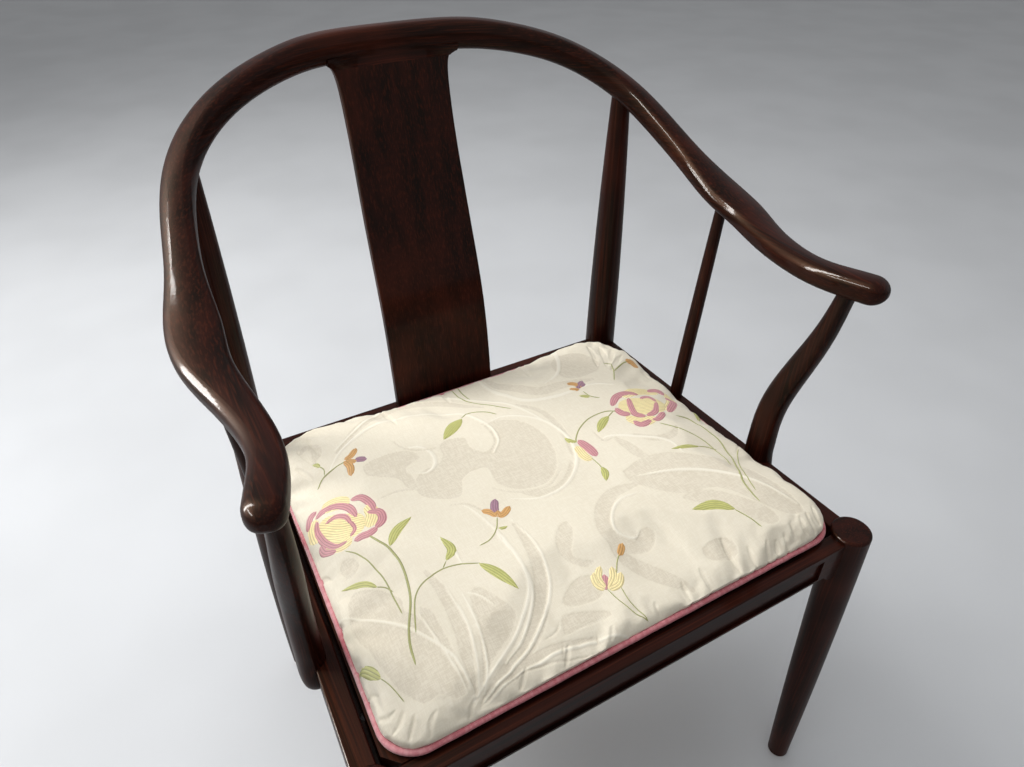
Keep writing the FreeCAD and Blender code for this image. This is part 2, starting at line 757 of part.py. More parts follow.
def bent_board(half_width):
    """The bent board of the splat, from the rear rail past its joint to the bow."""
    half = size("splat_thickness") / 2
    front = splat_line(-half)
    rear = splat_line(half)
    edges = [bent_line(front), Part.makeLine(front[-1], rear[-1]),
             bent_line(rear), Part.makeLine(rear[0], front[0])]
    board = Part.Face(Part.Wire(Part.__sortEdges__(edges))).extrude(Vector(2 * half_width, 0, 0))
    board.translate(Vector(-half_width, 0, 0))
    return board


def shoulder_reach():
    return size("splat_waist") / 2 + size("shoulder_round")


def slab(low, high):
    """All the space about the back between two heights."""
    reach = size("bow_depth")
    return Part.makeBox(reach, reach, high - low, Vector(-reach / 2, 0, low))


def splat_side():
    """The splat's right side seen from the front, from below the seat to the hollow's end."""
    foot = size("splat_width") / 2
    waist = size("splat_waist") / 2
    low = splat_foot_z()
    narrow = joint_z() - size("waist_drop")
    high = joint_z() + size("shoulder_rise")
    taper = [Vector(foot + (waist - foot) * lost, 0, low + (narrow - low) * up)
             for up, lost in TAPER_SHARES]
    hollow = [Vector(waist + size("shoulder_round") * out, 0, narrow + (high - narrow) * up)
              for up, out in HOLLOW_SHARES]
    return taper + hollow


def splat_front():
    """The space inside the splat's front outline, its hollows included, up into the bow."""
    side = splat_side()
    other = [Vector(-spot.x, 0, spot.z) for spot in reversed(side)]
    right = Vector(side[-1].x, 0, crest_z())
    left = Vector(-side[-1].x, 0, crest_z())
    edges = [bent_line(side), Part.makeLine(side[-1], right), Part.makeLine(right, left),
             Part.makeLine(left, other[0]), bent_line(other), Part.makeLine(other[-1], side[0])]
    return Part.Face(Part.Wire(edges)).extrude(Vector(0, size("bow_depth"), 0))


def splat_blank():
    """The splat's bent board inside its front outline, with rounded edges."""
    board = bent_board(shoulder_reach()).common(splat_front()).common(slab(0, joint_z()))
    long_edges = [edge for edge in board.Edges if edge.Length > size("splat_width") * 2]
    return board.makeFillet(size("splat_thickness") * SPLAT_ROUND_SHARE, long_edges)


def shoulder_section(share, board):
    """A level section of the shoulders, from the splat's board at 0 to the bow at 1."""
    front_y = bow_back_y() - BOW_GIRTH.value(BOW_MIDDLE).x / 2 + size("shoulder_sink")
    blend = math.sin(share * math.pi / 2)
    front = board.YMin + (front_y - board.YMin) * blend
    rear = board.YMax + (bow_back_y() - board.YMax) * blend
    bend = size("crest_bend") * blend
    reach = shoulder_reach()
    z = joint_z() + size("shoulder_blend") * share
    corners = [Vector(-reach, front - bend, z), Vector(reach, front - bend, z),
               Vector(reach, rear - bend, z), Vector(-reach, rear - bend, z)]
    if bend < TOLERANCE:
        return Part.makePolygon(corners + corners[:1])
    return Part.Wire([Part.Arc(corners[0], Vector(0, front, z), corners[1]).toShape(),
                      Part.makeLine(corners[1], corners[2]),
                      Part.Arc(corners[2], Vector(0, rear, z), corners[3]).toShape(),
                      Part.makeLine(corners[3], corners[0])])


def shoulder_blank():
    """The crest's lower part: the splat's face runs on into the bow's bent front."""
    slices = bent_board(shoulder_reach()).slice(UP, joint_z())
    board = slices[0].BoundBox
    shares = [index / SHOULDER_STEPS for index in range(SHOULDER_STEPS + 1)]
    wires = [shoulder_section(share, board) for share in shares]
    body = Part.makeLoft(wires, True, True)
    return body.common(splat_front())


def tongue(label, middle, along):
    """A flat tongue across the splat's width, half of it each side of its joint."""
    box = DOC.addObject("Part::Box", label)
    box.setExpression("Length", "Sizes.splat_waist - 2 * Sizes.tongue_margin")
    box.setExpression("Width", "Sizes.tongue_thickness")
    box.setExpression("Height", "2 * Sizes.tongue_length")
    rear = Vector(0, along.z, -along.y)
    corner = middle - Vector(size("splat_waist") / 2 - size("tongue_margin"), 0, 0)
    corner = corner - rear * (size("tongue_thickness") / 2) - along * size("tongue_length")
    box.Placement = FreeCAD.Placement(corner, FreeCAD.Rotation(UP, along))
    return box


# Spindles and arm posts.

SPINDLE_BELLY_SHARE = 0.4


def spindle_line(side):
    y = value_of(FRONT_ROW) + size("spindle_setback")
    x = value_of(rail_x(str(y))) + size("spindle_outset")
    low = Vector(side * x, y, size("seat_height"))
    high = mirrored(BOW_CURVE.value(bow_place_at_y(y)), side)
    return low, high


def build_spindle(side):
    low, high = spindle_line(side)
    spots = [low, low + (high - low) * SPINDLE_BELLY_SHARE, high]
    widths = [size("spindle_foot"), size("spindle_middle"), size("spindle_top")]
    return solid("spindle_blank", turned_member(spots, widths))


# An arm post's centre line, as shares: of its height, of its reach forwards, and of
# the change from its foot's width to its top's.

ARM_POST_SHARES = (
    (0.00, 0.00, 0.00),
    (0.12, -0.036, 0.10),
    (0.22, -0.055, 0.18),
    (0.36, -0.005, 0.25),
    (0.48, 0.16, 0.29),
    (0.59, 0.37, 0.38),
    (0.70, 0.59, 0.54),
    (0.82, 0.79, 0.76),
    (0.91, 0.90, 0.90),
    (1.00, 1.00, 1.00),
)
POST_ROUND_SHARES = (0.36, 0.36, 0.36, 0.36)
FOOT_ROUND_SHARES = ((0.0, 0.66), (0.018, 0.90), (0.045, 1.0))


def arm_post_line(side):
    """Foot and top of an arm post's centre line."""
    y = value_of(FRONT_ROW) + size("arm_post_setback")
    outer = value_of(rail_x(str(y))) + size("rail_thickness") / 2
    low = Vector(side * outer, y, size("seat_height") - size("arm_post_drop"))
    high = mirrored(BOW_CURVE.value(bow_place_at_y(y - size("arm_post_reach"))), side)
    return low, high


def arm_post_centre(low, high, row):
    height, forward = row[:2]
    way = high - low
    return low + Vector(way.x * height, way.y * forward, way.z * height)


def arm_post_section(low, high, row, scale=1):
    change = row[2]
    top_width = size("arm_post_top_width")
    width = top_width + (size("arm_post_foot_width") - top_width) * (1 - change)
    length = top_width + (size("arm_post_foot_length") - top_width) * (1 - change)
    return oval_wire(arm_post_centre(low, high, row), Vector(1, 0, 0), Vector(0, 1, 0),
                     width * scale, length * scale, POST_ROUND_SHARES)


def build_arm_post(name, side):
    low, high = arm_post_line(side)
    wires = []
    for height, scale in FOOT_ROUND_SHARES:
        wires.append(arm_post_section(low, high, (height, ARM_POST_SHARES[0][1], 0), scale))
    wires += [arm_post_section(low, high, row) for row in ARM_POST_SHARES[1:]]
    return solid("arm_post_%s_blank" % name, Part.makeLoft(wires, True))


def screw(label, tip, direction, shank, length, head, head_height):
    """A plain screw: a shank from its tip and a countersunk head at the far end."""
    rod = Part.makeCylinder(shank / 2, length, Vector(0, 0, 0), UP)
    cone = Part.makeCone(shank / 2, head / 2, head_height, Vector(0, 0, length - head_height), UP)
    shape = rod.fuse(cone)
    shape.Placement = FreeCAD.Placement(tip, FreeCAD.Rotation(UP, direction))
    return shape


def arm_post_screws(side):
    """Two screws from the rail's inner face into one arm post's foot."""
    low, high = arm_post_line(side)
    screws = []
    length = size("post_screw_reach") + size("rail_thickness")
    head_height = (size("post_screw_head") - size("post_screw_diameter")) / 2
    for index in range(int(size("post_screw_count"))):
        z = size("seat_height") - size("post_screw_drop") - index * size("post_screw_pitch")
        outer = low.x + side * size("post_screw_reach")
        tip = Vector(outer, low.y, z)
        screws.append(screw("screw", tip, Vector(-side, 0, 0), size("post_screw_diameter"), length,
                            size("post_screw_head"), head_height))
    return screws


# The loose seat frame, its straps and its corner blocks.

SEAT_UNDER = "Sizes.seat_height - Sizes.seat_frame_thickness"
SEAT_FRONT = "(%s + Sizes.seat_joint)" % FRONT_INNER
SEAT_REAR = "(%s - Sizes.seat_joint)" % REAR_INNER


def seat_x(y, inset="0"):
    """Outer edge of the seat frame at y, moved in by inset, as an expression."""
    return "(%s - Sizes.seat_gap - %s)" % (rail_inner_x(y), inset)


def build_seat_side(name, side):
    """A side member of the seat frame, cut at its front corner beside the leg."""
    cut_y = "(%s + Sizes.seat_corner_cut)" % SEAT_FRONT
    width = "Sizes.seat_frame_width"
    points = [(seat_x(SEAT_FRONT, "Sizes.seat_corner_cut"), SEAT_FRONT), (seat_x(cut_y), cut_y),
              (seat_x(SEAT_REAR), SEAT_REAR), (seat_x(SEAT_REAR, width), SEAT_REAR),
              (seat_x(SEAT_FRONT, width), SEAT_FRONT)]
    points = [("%d * %s" % (side, x), y) for x, y in points]
    return plate("seat_frame_%s_blank" % name, points, SEAT_UNDER, "Sizes.seat_frame_thickness")


def build_seat_cross(label, near, far):
    """A front or rear member between the side members."""
    points = []
    for sign, y in ((-1, near), (1, near), (1, far), (-1, far)):
        points.append(("%d * %s" % (sign, seat_x(y, "Sizes.seat_frame_width")), y))
    return plate(label, points, SEAT_UNDER, "Sizes.seat_frame_thickness")


def build_seat_tenon(label, near, far):
    """A tenon bar that runs from a cross member into both side members."""
    inset = "(Sizes.seat_frame_width - Sizes.seat_tenon)"
    points = []
    low = "(%s + Sizes.seat_tenon_edge)" % near
    high = "(%s - Sizes.seat_tenon_edge)" % far
    for sign, y in ((-1, low), (1, low), (1, high), (-1, high)):
        points.append(("%d * %s" % (sign, seat_x(y, inset)), y))
    return plate(label, points, SEAT_UNDER + " + Sizes.seat_tenon_thickness", "Sizes.seat_tenon_thickness")


def build_rebate():
    """Cutter for the rebate round the seat frame's opening."""
    near = "(%s + Sizes.seat_frame_width - Sizes.rebate_width)" % SEAT_FRONT
    far = "(%s - Sizes.seat_frame_width + Sizes.rebate_width)" % SEAT_REAR
    inset = "(Sizes.seat_frame_width - Sizes.rebate_width)"
    points = []
    for sign, y in ((-1, near), (1, near), (1, far), (-1, far)):
        points.append(("%d * %s" % (sign, seat_x(y, inset)), y))
    return plate("rebate_cutter", points, "Sizes.seat_height - Sizes.rebate_depth",
                 "Sizes.rebate_depth + Sizes.overrun")


def strap_box(x_low, x_high, y_low, y_high, z):
    return Part.makeBox(x_high - x_low, y_high - y_low, size("strap_thickness"), Vector(x_low, y_low, z))


def seat_limits():
    """Front and rear ends of the straps."""
    inset = size("seat_frame_width") - size("rebate_width") + size("strap_margin")
    return value_of(SEAT_FRONT) + inset, value_of(SEAT_REAR) - inset


def lengthwise_straps():
    near, far = seat_limits()
    count = int(size("strap_lengthwise_count"))
    half = value_of(seat_x(SEAT_REAR, "Sizes.seat_frame_width"))
    pitch = 2 * half / count
    z = size("seat_height") - size("rebate_depth") + size("strap_thickness")
    straps = []
    for index in range(count):
        middle = (index + 0.5) * pitch - half
        half_strap = size("strap_width") / 2
        straps.append(strap_box(middle - half_strap, middle + half_strap, near, far, z))
    return straps


def crosswise_straps():
    near, far = seat_limits()
    inset = size("seat_frame_width") - size("rebate_width") + size("strap_margin")
    near += size("rebate_width")
    far -= size("rebate_width")
    count = int(size("strap_crosswise_count"))
    pitch = (far - near) / count
    z = size("seat_height") - size("rebate_depth")
    straps = []
    for index in range(count):
        middle = near + (index + 0.5) * pitch
        y_low = middle - size("strap_width") / 2
        y_high = middle + size("strap_width") / 2
        x = value_of(seat_x(str(y_high))) - inset
        straps.append(strap_box(-x, x, y_low, y_high, z))
    return straps


def build_ledge(name, side):
    """A strip on a side rail, between the corner blocks, that the seat frame rests on."""
    near = "(%s + Sizes.block_reach + Sizes.ledge_gap)" % FRONT_INNER
    far = "(%s - Sizes.block_reach - Sizes.ledge_gap)" % REAR_INNER
    points = [(rail_inner_x(near), near), (rail_inner_x(far), far),
              ("%s - Sizes.ledge_width" % rail_inner_x(far), far),
              ("%s - Sizes.ledge_width" % rail_inner_x(near), near)]
    points = [("%d * (%s)" % (side, x), y) for x, y in points]
    return plate("seat_ledge_%s_blank" % name, points, SEAT_UNDER + " - Sizes.ledge_height",
                 "Sizes.ledge_height")


def ledge_screws(side):
    """Screws through one ledge into its side rail."""
    near = value_of(FRONT_INNER) + size("block_reach")
    far = value_of(REAR_INNER) - size("block_reach")
    count = int(size("ledge_screw_count"))
    z = value_of(SEAT_UNDER) - size("ledge_height") / 2
    reach = size("ledge_screw_reach")
    screws = []
    for index in range(count):
        y = near + (far - near) * (index + 0.5) / count
        tip = Vector(side * (value_of(rail_inner_x(str(y))) + reach), y, z)
        screws.append(block_screw(tip, Vector(-side, 0, 0), reach + size("ledge_width")))
    return screws


def block_faces(row):
    """The rail faces that a corner block of the front or rear row lies against."""
    if row == "front":
        return FRONT_INNER, 1
    return REAR_INNER, -1


def build_block(row, name, side):
    """A three-sided corner block with its corner cut away for the leg."""
    face, turn = block_faces(row)
    near = "(%s + %d * Sizes.block_corner_cut)" % (face, turn)
    far = "(%s + %d * Sizes.block_reach)" % (face, turn)
    points = [("%s - Sizes.block_corner_cut" % rail_inner_x(face), face), (rail_inner_x(near), near),
              (rail_inner_x(far), far), ("%s - Sizes.block_reach" % rail_inner_x(face), face)]
    points = [("%d * (%s)" % (side, x), y) for x, y in points]
    return plate("corner_block_%s_%s_blank" % (row, name), points,
                 SEAT_UNDER + " - Sizes.block_thickness", "Sizes.block_thickness")


def block_screw_spots(row, side):
    """Tips and directions of a block's two rail screws and its seat screw."""
    face, turn = block_faces(row)
    y_face = value_of(face)
    z = value_of(SEAT_UNDER) - size("block_thickness") / 2
    inset = size("block_screw_inset")
    x_cross = side * (value_of(rail_inner_x(face)) - inset)
    cross = (Vector(x_cross, y_face - turn * size("block_screw_reach"), z), Vector(0, turn, 0))
    y_side = y_face + turn * inset
    x_side = value_of(rail_inner_x(str(y_side)))
    along = (Vector(side * (x_side + size("block_screw_reach")), y_side, z), Vector(-side, 0, 0))
    middle = size("seat_screw_inset")
    up_spot = Vector(side * (x_side - middle), y_face + turn * middle,
                     value_of(SEAT_UNDER) + size("block_screw_reach"))
    return cross, along, (up_spot, Vector(0, 0, -1))


def block_screw(tip, direction, length):
    return screw("screw", tip, direction, size("block_screw_diameter"), length,
                 size("block_screw_head"), size("block_screw_head_height"))


def all_screws(kind):
    """The screws of one kind at all four corners."""
    return [item for row in ROWS for name, side in SIDES for item in kind(row, side)]


def block_screws(row, side):
    cross, along = block_screw_spots(row, side)[:2]
    length = size("block_screw_reach") + size("block_screw_cover")
    return [block_screw(*cross, length), block_screw(*along, length)]


def seat_screws(row, side):
    upward = block_screw_spots(row, side)[2]
    return [block_screw(*upward, size("block_screw_reach") + size("block_thickness"))]


def counterbores(row, side):
    """Round openings in a block that let its screw heads in from the open side."""
    bores = []
    start = size("block_screw_reach") + size("block_screw_cover")
    for tip, direction in block_screw_spots(row, side)[:2]:
        base = tip + direction * start
        bores.append(Part.makeCylinder(size("block_screw_head") / 2, size("block_reach"), base, direction))
    return bores


# The loose cushion.


def corner_points(spots, index, radius):
    """Tangent points and middle of a corner's arc in a closed outline."""
    here = spots[index]
    before = (spots[index - 1] - here).normalize()
    after = (spots[(index + 1) % len(spots)] - here).normalize()
    half_angle = before.getAngle(after) / 2
    reach = radius / math.tan(half_angle)
    middle = (before + after).normalize() * (radius / math.sin(half_angle) - radius)
    return here + before * reach, here + middle, here + after * reach


def cushion_wire(inset, z, draw):
    """Outline of the cushion at one height, inset from its outer edge."""
    shift = size("cushion_shift")
    front = size("front_leg_spacing") / 2 - size("cushion_side_gap_front") - inset
    rear = size("rear_leg_spacing") / 2 - size("cushion_side_gap_rear") - inset
    near = value_of(FRONT_ROW) + size("cushion_front_gap") + inset
    far = value_of(REAR_ROW) - size("cushion_rear_gap") - inset
    spots = [Vector(shift - front, near, z), Vector(shift + front, near, z),
             Vector(shift + rear, far, z), Vector(shift - rear, far, z)]
    radii = [size("cushion_round_front")] * 2 + [size("cushion_round_rear")] * 2
    corners = [corner_points(spots, index, radius) for index, radius in enumerate(radii)]
    edges = []
    for index, corner in enumerate(corners):
        following = corners[(index + 1) % len(corners)]
        edges.append(Part.Arc(*corner).toShape())
        middle = (corner[2] + following[0]) / 2
        inward = (following[0] - corner[2]).cross(UP).normalize() * -1
        if draw > TOLERANCE:
            edges.append(Part.Arc(corner[2], middle + inward * draw, following[0]).toShape())
        else:
            edges.append(Part.makeLine(corner[2], following[0]))
    return Part.Wire(edges)


# The crown rises from the seam like a quarter of an oval. Shares: how far in from
# the edge the crown reaches, of the cushion's width; and how the underside curves in.

CROWN_REACH_SHARE = 0.22
CROWN_POWER_SHARE = 0.95
CROWN_RINGS = 10
UNDER_SHARES = (
    (0.050, 1.0),
    (0.012, 0.5),
)


def cushion_form(thinner):
    """The closed crowned form of the cushion, moved in all round by thinner."""
    width = size("front_leg_spacing") - 2 * size("cushion_side_gap_front")
    edge = size("piping_diameter") + size("piping_gap") + thinner
    seam_z = size("seat_height") + size("cushion_seam_height")
    under = size("cushion_seam_height") - size("cushion_rest_gap") - thinner
    crown = size("cushion_crown") - size("cushion_seam_height") - thinner
    wires = []
    for share, drop in UNDER_SHARES:
        wires.append(cushion_wire(edge + share * width, seam_z - drop * under, 0))
    for index in range(CROWN_RINGS + 1):
        angle = index / CROWN_RINGS * math.pi / 2
        share = CROWN_REACH_SHARE * (1 - math.cos(angle))
        rise = math.sin(angle) ** CROWN_POWER_SHARE
        draw = math.sin(2 * angle) * size("cushion_draw")
        wires.append(cushion_wire(edge + share * width, seam_z + rise * crown, draw))
    return Part.makeLoft(wires, True, True)


def piping_ring():
    """The piping, swept round the seam."""
    z = size("seat_height") + size("cushion_seam_height")
    path = cushion_wire(size("piping_diameter") / 2, z, 0)
    first = path.Edges[0]
    spot = first.valueAt(first.FirstParameter)
    along = first.tangentAt(first.FirstParameter)
    profile = Part.Wire(Part.Circle(spot, along, size("piping_diameter") / 2).toShape())
    return path.makePipeShell([profile], True, False)


def build_seat_frame():
    rebate = build_rebate()
    near = "(%s + Sizes.seat_frame_width)" % SEAT_FRONT
    far = "(%s - Sizes.seat_frame_width)" % SEAT_REAR
    tenons = [build_seat_tenon("seat_front_tenon", SEAT_FRONT, near),
              build_seat_tenon("seat_rear_tenon", far, SEAT_REAR)]
    screws = solid("seat_screw_cutter", Part.makeCompound(all_screws(seat_screws)))
    rows = (("front", (SEAT_FRONT, near), tenons[0]), ("rear", (far, SEAT_REAR), tenons[1]))
    for row, ends, tenon in rows:
        member = build_seat_cross("seat_frame_%s_blank" % row, *ends)
        whole = fuse("seat_frame_%s_whole" % row, [member, tenon])
        keep("seat_frame_" + row, cut("seat_frame_" + row, whole, [rebate, screws]))
    for name, side in SIDES:
        member = build_seat_side(name, side)
        keep("seat_frame_" + name, cut("seat_frame_" + name, member, [rebate, screws] + tenons))


def build_blocks():
    for row in ROWS:
        for name, side in SIDES:
            block = build_block(row, name, side)
            bores = block_screws(row, side) + seat_screws(row, side) + counterbores(row, side)
            cutter = solid("block_cutter", Part.makeCompound(bores))
            label = "corner_block_%s_%s" % (row, name)
            keep(label, cut(label, block, [cutter]))
    keep_group("corner_block_screws", all_screws(block_screws))
    keep_group("seat_frame_screws", all_screws(seat_screws))


def build_ledges(screws):
    """The ledges, bored for their own screws and let in over the arm posts' screw heads."""
    for name, side in SIDES:
        label = "seat_ledge_" + name
        keep(label, cut(label, build_ledge(name, side), screws))


def build_cushion():
    wall = size("cover_thickness")
    cover = cushion_form(0).cut(cushion_form(wall))
    keep("cushion_cover", solid("cushion_cover", cover))
    keep("cushion_core", solid("cushion_core", cushion_form(wall + size("core_gap"))))
    keep("cushion_piping", solid("cushion_piping", piping_ring()))


def build_legs(front_tenon, rear_tenon, side_tenons, bow):
    """Front legs and rear posts with their mortises, and the glides under them."""
    glides = []
    pegs = {}
    for name, side in SIDES:
        lean = 1 - size("glide_thickness") / size("seat_height")
        foot = Vector(side * (value_of(FRONT_X) + size("front_splay_side") * lean),
                      value_of(FRONT_ROW) - size("front_splay_forward") * lean, 0)
        glide = build_glide("glide_front_" + name, foot, "Sizes.front_leg_foot")
        leg = build_front_leg(name, side)
        keep("front_leg_" + name, cut("front_leg_" + name, leg, [front_tenon, side_tenons[name], glide]))
        glides.append(glide)

        at_seat, at_bow = rear_post_line(side)
        foot = at_height(at_seat, at_bow, size("glide_thickness"))
        glide = build_glide("glide_rear_" + name, foot, "Sizes.post_foot")
        peg = build_peg("rear_post_peg_" + name, at_seat, at_bow, "Sizes.peg_diameter")
        post = build_rear_post(name, side)
        coped = cut("rear_post_%s_coped" % name, post, [bow, side_tenons[name], rear_tenon, glide])
        keep("rear_post_" + name, fuse("rear_post_" + name, [coped, peg]))
        glides.append(glide)
        pegs[name] = [peg]
    keep("foot_glides", fuse("foot_glides", glides))
    return pegs


def build_spindles(bow, pegs):
    """The right spindle, coped to the bow, with its round tenons, and its mirror image."""
    foot_pegs = {}
    for name, side in SIDES:
        low, high = spindle_line(side)
        direction = (high - low).normalize()
        length = size("spindle_peg_length")
        foot_pegs[name] = cylinder("spindle_foot_peg_" + name, low - direction * length, direction,
                                   "Sizes.spindle_peg", length * 2)
        pegs[name].append(build_peg("spindle_top_peg_" + name, low, high, "Sizes.spindle_peg"))
    coped = cut("spindle_coped", build_spindle(1), [bow])
    spindle = fuse("spindle_right", [coped, foot_pegs["right"], pegs["right"][-1]])
    keep("spindle_right", spindle)
    keep("spindle_left", mirror_image("spindle_left", spindle))
    return foot_pegs


def build_arm_posts(bow, side_rails, screws, pegs):
    """Arm posts, coped to the bow and to the side rails, with their round tenons."""
    for name, side in SIDES:
        low, high = arm_post_line(side)
        below = arm_post_centre(low, high, ARM_POST_SHARES[-2])
        peg = build_peg("arm_post_peg_" + name, below, high, "Sizes.peg_diameter")
        post = build_arm_post(name, side)
        coped = cut("arm_post_%s_coped" % name, post, [bow, side_rails[name], screws])
        keep("arm_post_" + name, fuse("arm_post_" + name, [coped, peg]))
        pegs[name].append(peg)


def build_splat(rear_rail):
    """The splat and its two tongues."""
    below, top = splat_line(0)[-2:]
    along = (top - below).normalize()
    at_joint = at_height(below, top, joint_z())
    foot = Vector(0, value_of(REAR_RAIL), size("seat_height"))
    foot_tongue = tongue("splat_foot_tongue", foot, UP)
    top_tongue = tongue("splat_top_tongue", at_joint, along)
    level = cut("splat_level", solid("splat_blank", splat_blank()), [rear_rail])
    keep("splat", fuse("splat", [level, foot_tongue, top_tongue]))
    return foot_tongue, top_tongue


def build_bow(bow, top_tongue, pegs):
    """The crest rail with its shoulders, and the two arms finger-jointed to it."""
    shoulders = solid("shoulders_blank", shoulder_blank())
    crest = fuse("crest_whole", [bow, shoulders])
    cutters = {name: solid("arm_cutter_" + name, joint_cutter(side)) for name, side in SIDES}
    keep("crest_rail", cut("crest_rail", crest, [cutters["left"], cutters["right"], top_tongue]))
    for name, side in SIDES:
        arm = DOC.addObject("Part::MultiCommon", "arm_%s_whole" % name)
        arm.Shapes = [bow, cutters[name]]
        keep("arm_" + name, cut("arm_" + name, arm, pegs[name]))


def build_chair():
    bow = solid("bow_blank", bow_blank())
    front_rail, front_tenon = build_front_rail()
    rear_rail, rear_tenon = build_rear_rail()
    side_rails = {}
    side_tenons = {}
    for name, side in SIDES:
        side_rails[name], side_tenons[name] = build_side_rail(name, side)
    into_rails = solid("block_screw_cutter", Part.makeCompound(all_screws(block_screws)))
    into_ledges = keep_group("ledge_screws", [item for name, side in SIDES for item in ledge_screws(side)])
    screws = keep_group("arm_post_screws", [item for name, side in SIDES for item in arm_post_screws(side)])

    pegs = build_legs(front_tenon, rear_tenon, side_tenons, bow)
    foot_pegs = build_spindles(bow, pegs)
    build_arm_posts(bow, side_rails, screws, pegs)
    foot_tongue, top_tongue = build_splat(rear_rail)
    build_bow(bow, top_tongue, pegs)

    for name, side in SIDES:
        tools = [NODES["front_leg_" + name], NODES["rear_post_" + name], front_tenon, rear_tenon,
                 foot_pegs[name], into_rails, into_ledges, screws]
        keep("side_rail_" + name, cut("side_rail_" + name, side_rails[name], tools))
    across = [side_tenons["left"], side_tenons["right"], into_rails]
    tools = [NODES["front_leg_left"], NODES["front_leg_right"]] + across
    keep("front_rail", cut("front_rail", front_rail, tools))
    tools = [NODES["rear_post_left"], NODES["rear_post_right"]] + across + [foot_tongue]
    keep("rear_rail", cut("rear_rail", rear_rail, tools))

    build_seat_frame()
    build_blocks()
    build_ledges([into_ledges, screws])
    keep_group("webbing_lengthwise", lengthwise_straps())
    keep_group("webbing_crosswise", crosswise_straps())
    build_cushion()


def check_and_export():
    """Refuse a failed feature or an invalid shape, then write every piece."""
    DOC.recompute()
    for item in DOC.Objects:
        for state in item.State:
            if state in ("Invalid", "Error"):
                raise RuntimeError("%s (%s) failed" % (item.Label, item.Name))
    for node, feature in sorted(NODES.items()):
        shape = feature.Shape
        if shape.isNull() or not shape.isValid():
            raise RuntimeError("%s has no valid shape" % node)
    os.makedirs("parts", exist_ok=True)
    for node, feature in sorted(NODES.items()):
        feature.Shape.exportStep("parts/%s.step" % node)
        print(node, len(feature.Shape.Solids), "solids", round(feature.Shape.Volume / 1000, 2), "cm3")


build_chair()
check_and_export()
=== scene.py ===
import math

import bmesh
import bpy
import numpy as np
from bpy.props import FloatProperty, FloatVectorProperty, PointerProperty
from bpy.types import Operator, PropertyGroup
from mathutils import Matrix, Vector
from mathutils.bvhtree import BVHTree


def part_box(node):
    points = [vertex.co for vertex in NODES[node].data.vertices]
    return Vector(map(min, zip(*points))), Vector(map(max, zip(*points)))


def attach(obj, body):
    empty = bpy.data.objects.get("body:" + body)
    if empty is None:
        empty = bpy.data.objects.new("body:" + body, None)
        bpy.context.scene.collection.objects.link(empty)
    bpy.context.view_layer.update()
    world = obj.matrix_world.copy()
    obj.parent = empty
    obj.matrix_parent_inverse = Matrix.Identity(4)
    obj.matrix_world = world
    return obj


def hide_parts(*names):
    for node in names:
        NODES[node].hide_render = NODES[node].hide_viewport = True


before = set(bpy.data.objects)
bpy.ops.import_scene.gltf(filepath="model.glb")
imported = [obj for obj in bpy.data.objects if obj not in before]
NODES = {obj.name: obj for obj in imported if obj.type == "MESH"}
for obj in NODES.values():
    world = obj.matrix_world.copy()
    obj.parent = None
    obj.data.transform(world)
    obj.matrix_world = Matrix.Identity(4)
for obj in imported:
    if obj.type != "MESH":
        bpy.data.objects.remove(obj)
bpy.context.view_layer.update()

bl_info = {
    "name": "Horseshoe back armchair",
    "version": (1, 0, 0),
    "blender": (4, 5, 0),
    "location": "View3D > Sidebar > Armchair",
    "description": "Finishes a horseshoe back armchair with a loose flowered cushion",
    "category": "Object",
}

MM = 0.001    # metres
QUARTER = math.pi / 2


# Colours, settings and nodes.


def linear(code):
    """An sRGB hex colour as linear red, green, blue and alpha."""
    shares = [int(code[start:start + 2], 16) / 255 for start in (1, 3, 5)]
    values = [s / 12.92 if s <= 0.04045 else ((s + 0.055) / 1.055) ** 2.4 for s in shares]
    return (*values, 1.0)


def colour(name, description, code):
    return FloatVectorProperty(name=name, description=description, subtype="COLOR", size=4,
                               min=0.0, max=1.0, default=linear(code))


def number(name, description, value, **traits):
    return FloatProperty(name=name, description=description, default=value, min=0.0, **traits)


def length(name, description, millimetres):
    return number(name, description, millimetres * MM, unit="LENGTH", subtype="DISTANCE",
                  precision=5)


class WoodSettings(PropertyGroup):
    """Stained frame"""
    dark: colour("Dark grain", "Stain in the darkest grain lines", "#0e0403")
    middle: colour("Middle", "Stain over most of the wood", "#240b07")
    light: colour("Light grain", "Stain in the palest grain", "#4a1e10")
    amber: colour("Amber", "Warm tint of the sheen under the lacquer", "#ffcb9e")
    gloss: number("Lacquer roughness", "Roughness of the lacquer", 0.1, subtype="FACTOR", max=1.0)
    lacquer: number("Lacquer", "Weight of the lacquer", 0.13, subtype="FACTOR", max=1.0)
    stripe: length("Stripe", "Width of the broad stripes", 13)
    grain: length("Grain line", "Width of one grain line", 1.6)
    pore: length("Pore", "Width of one pore, drawn coarse", 0.9)


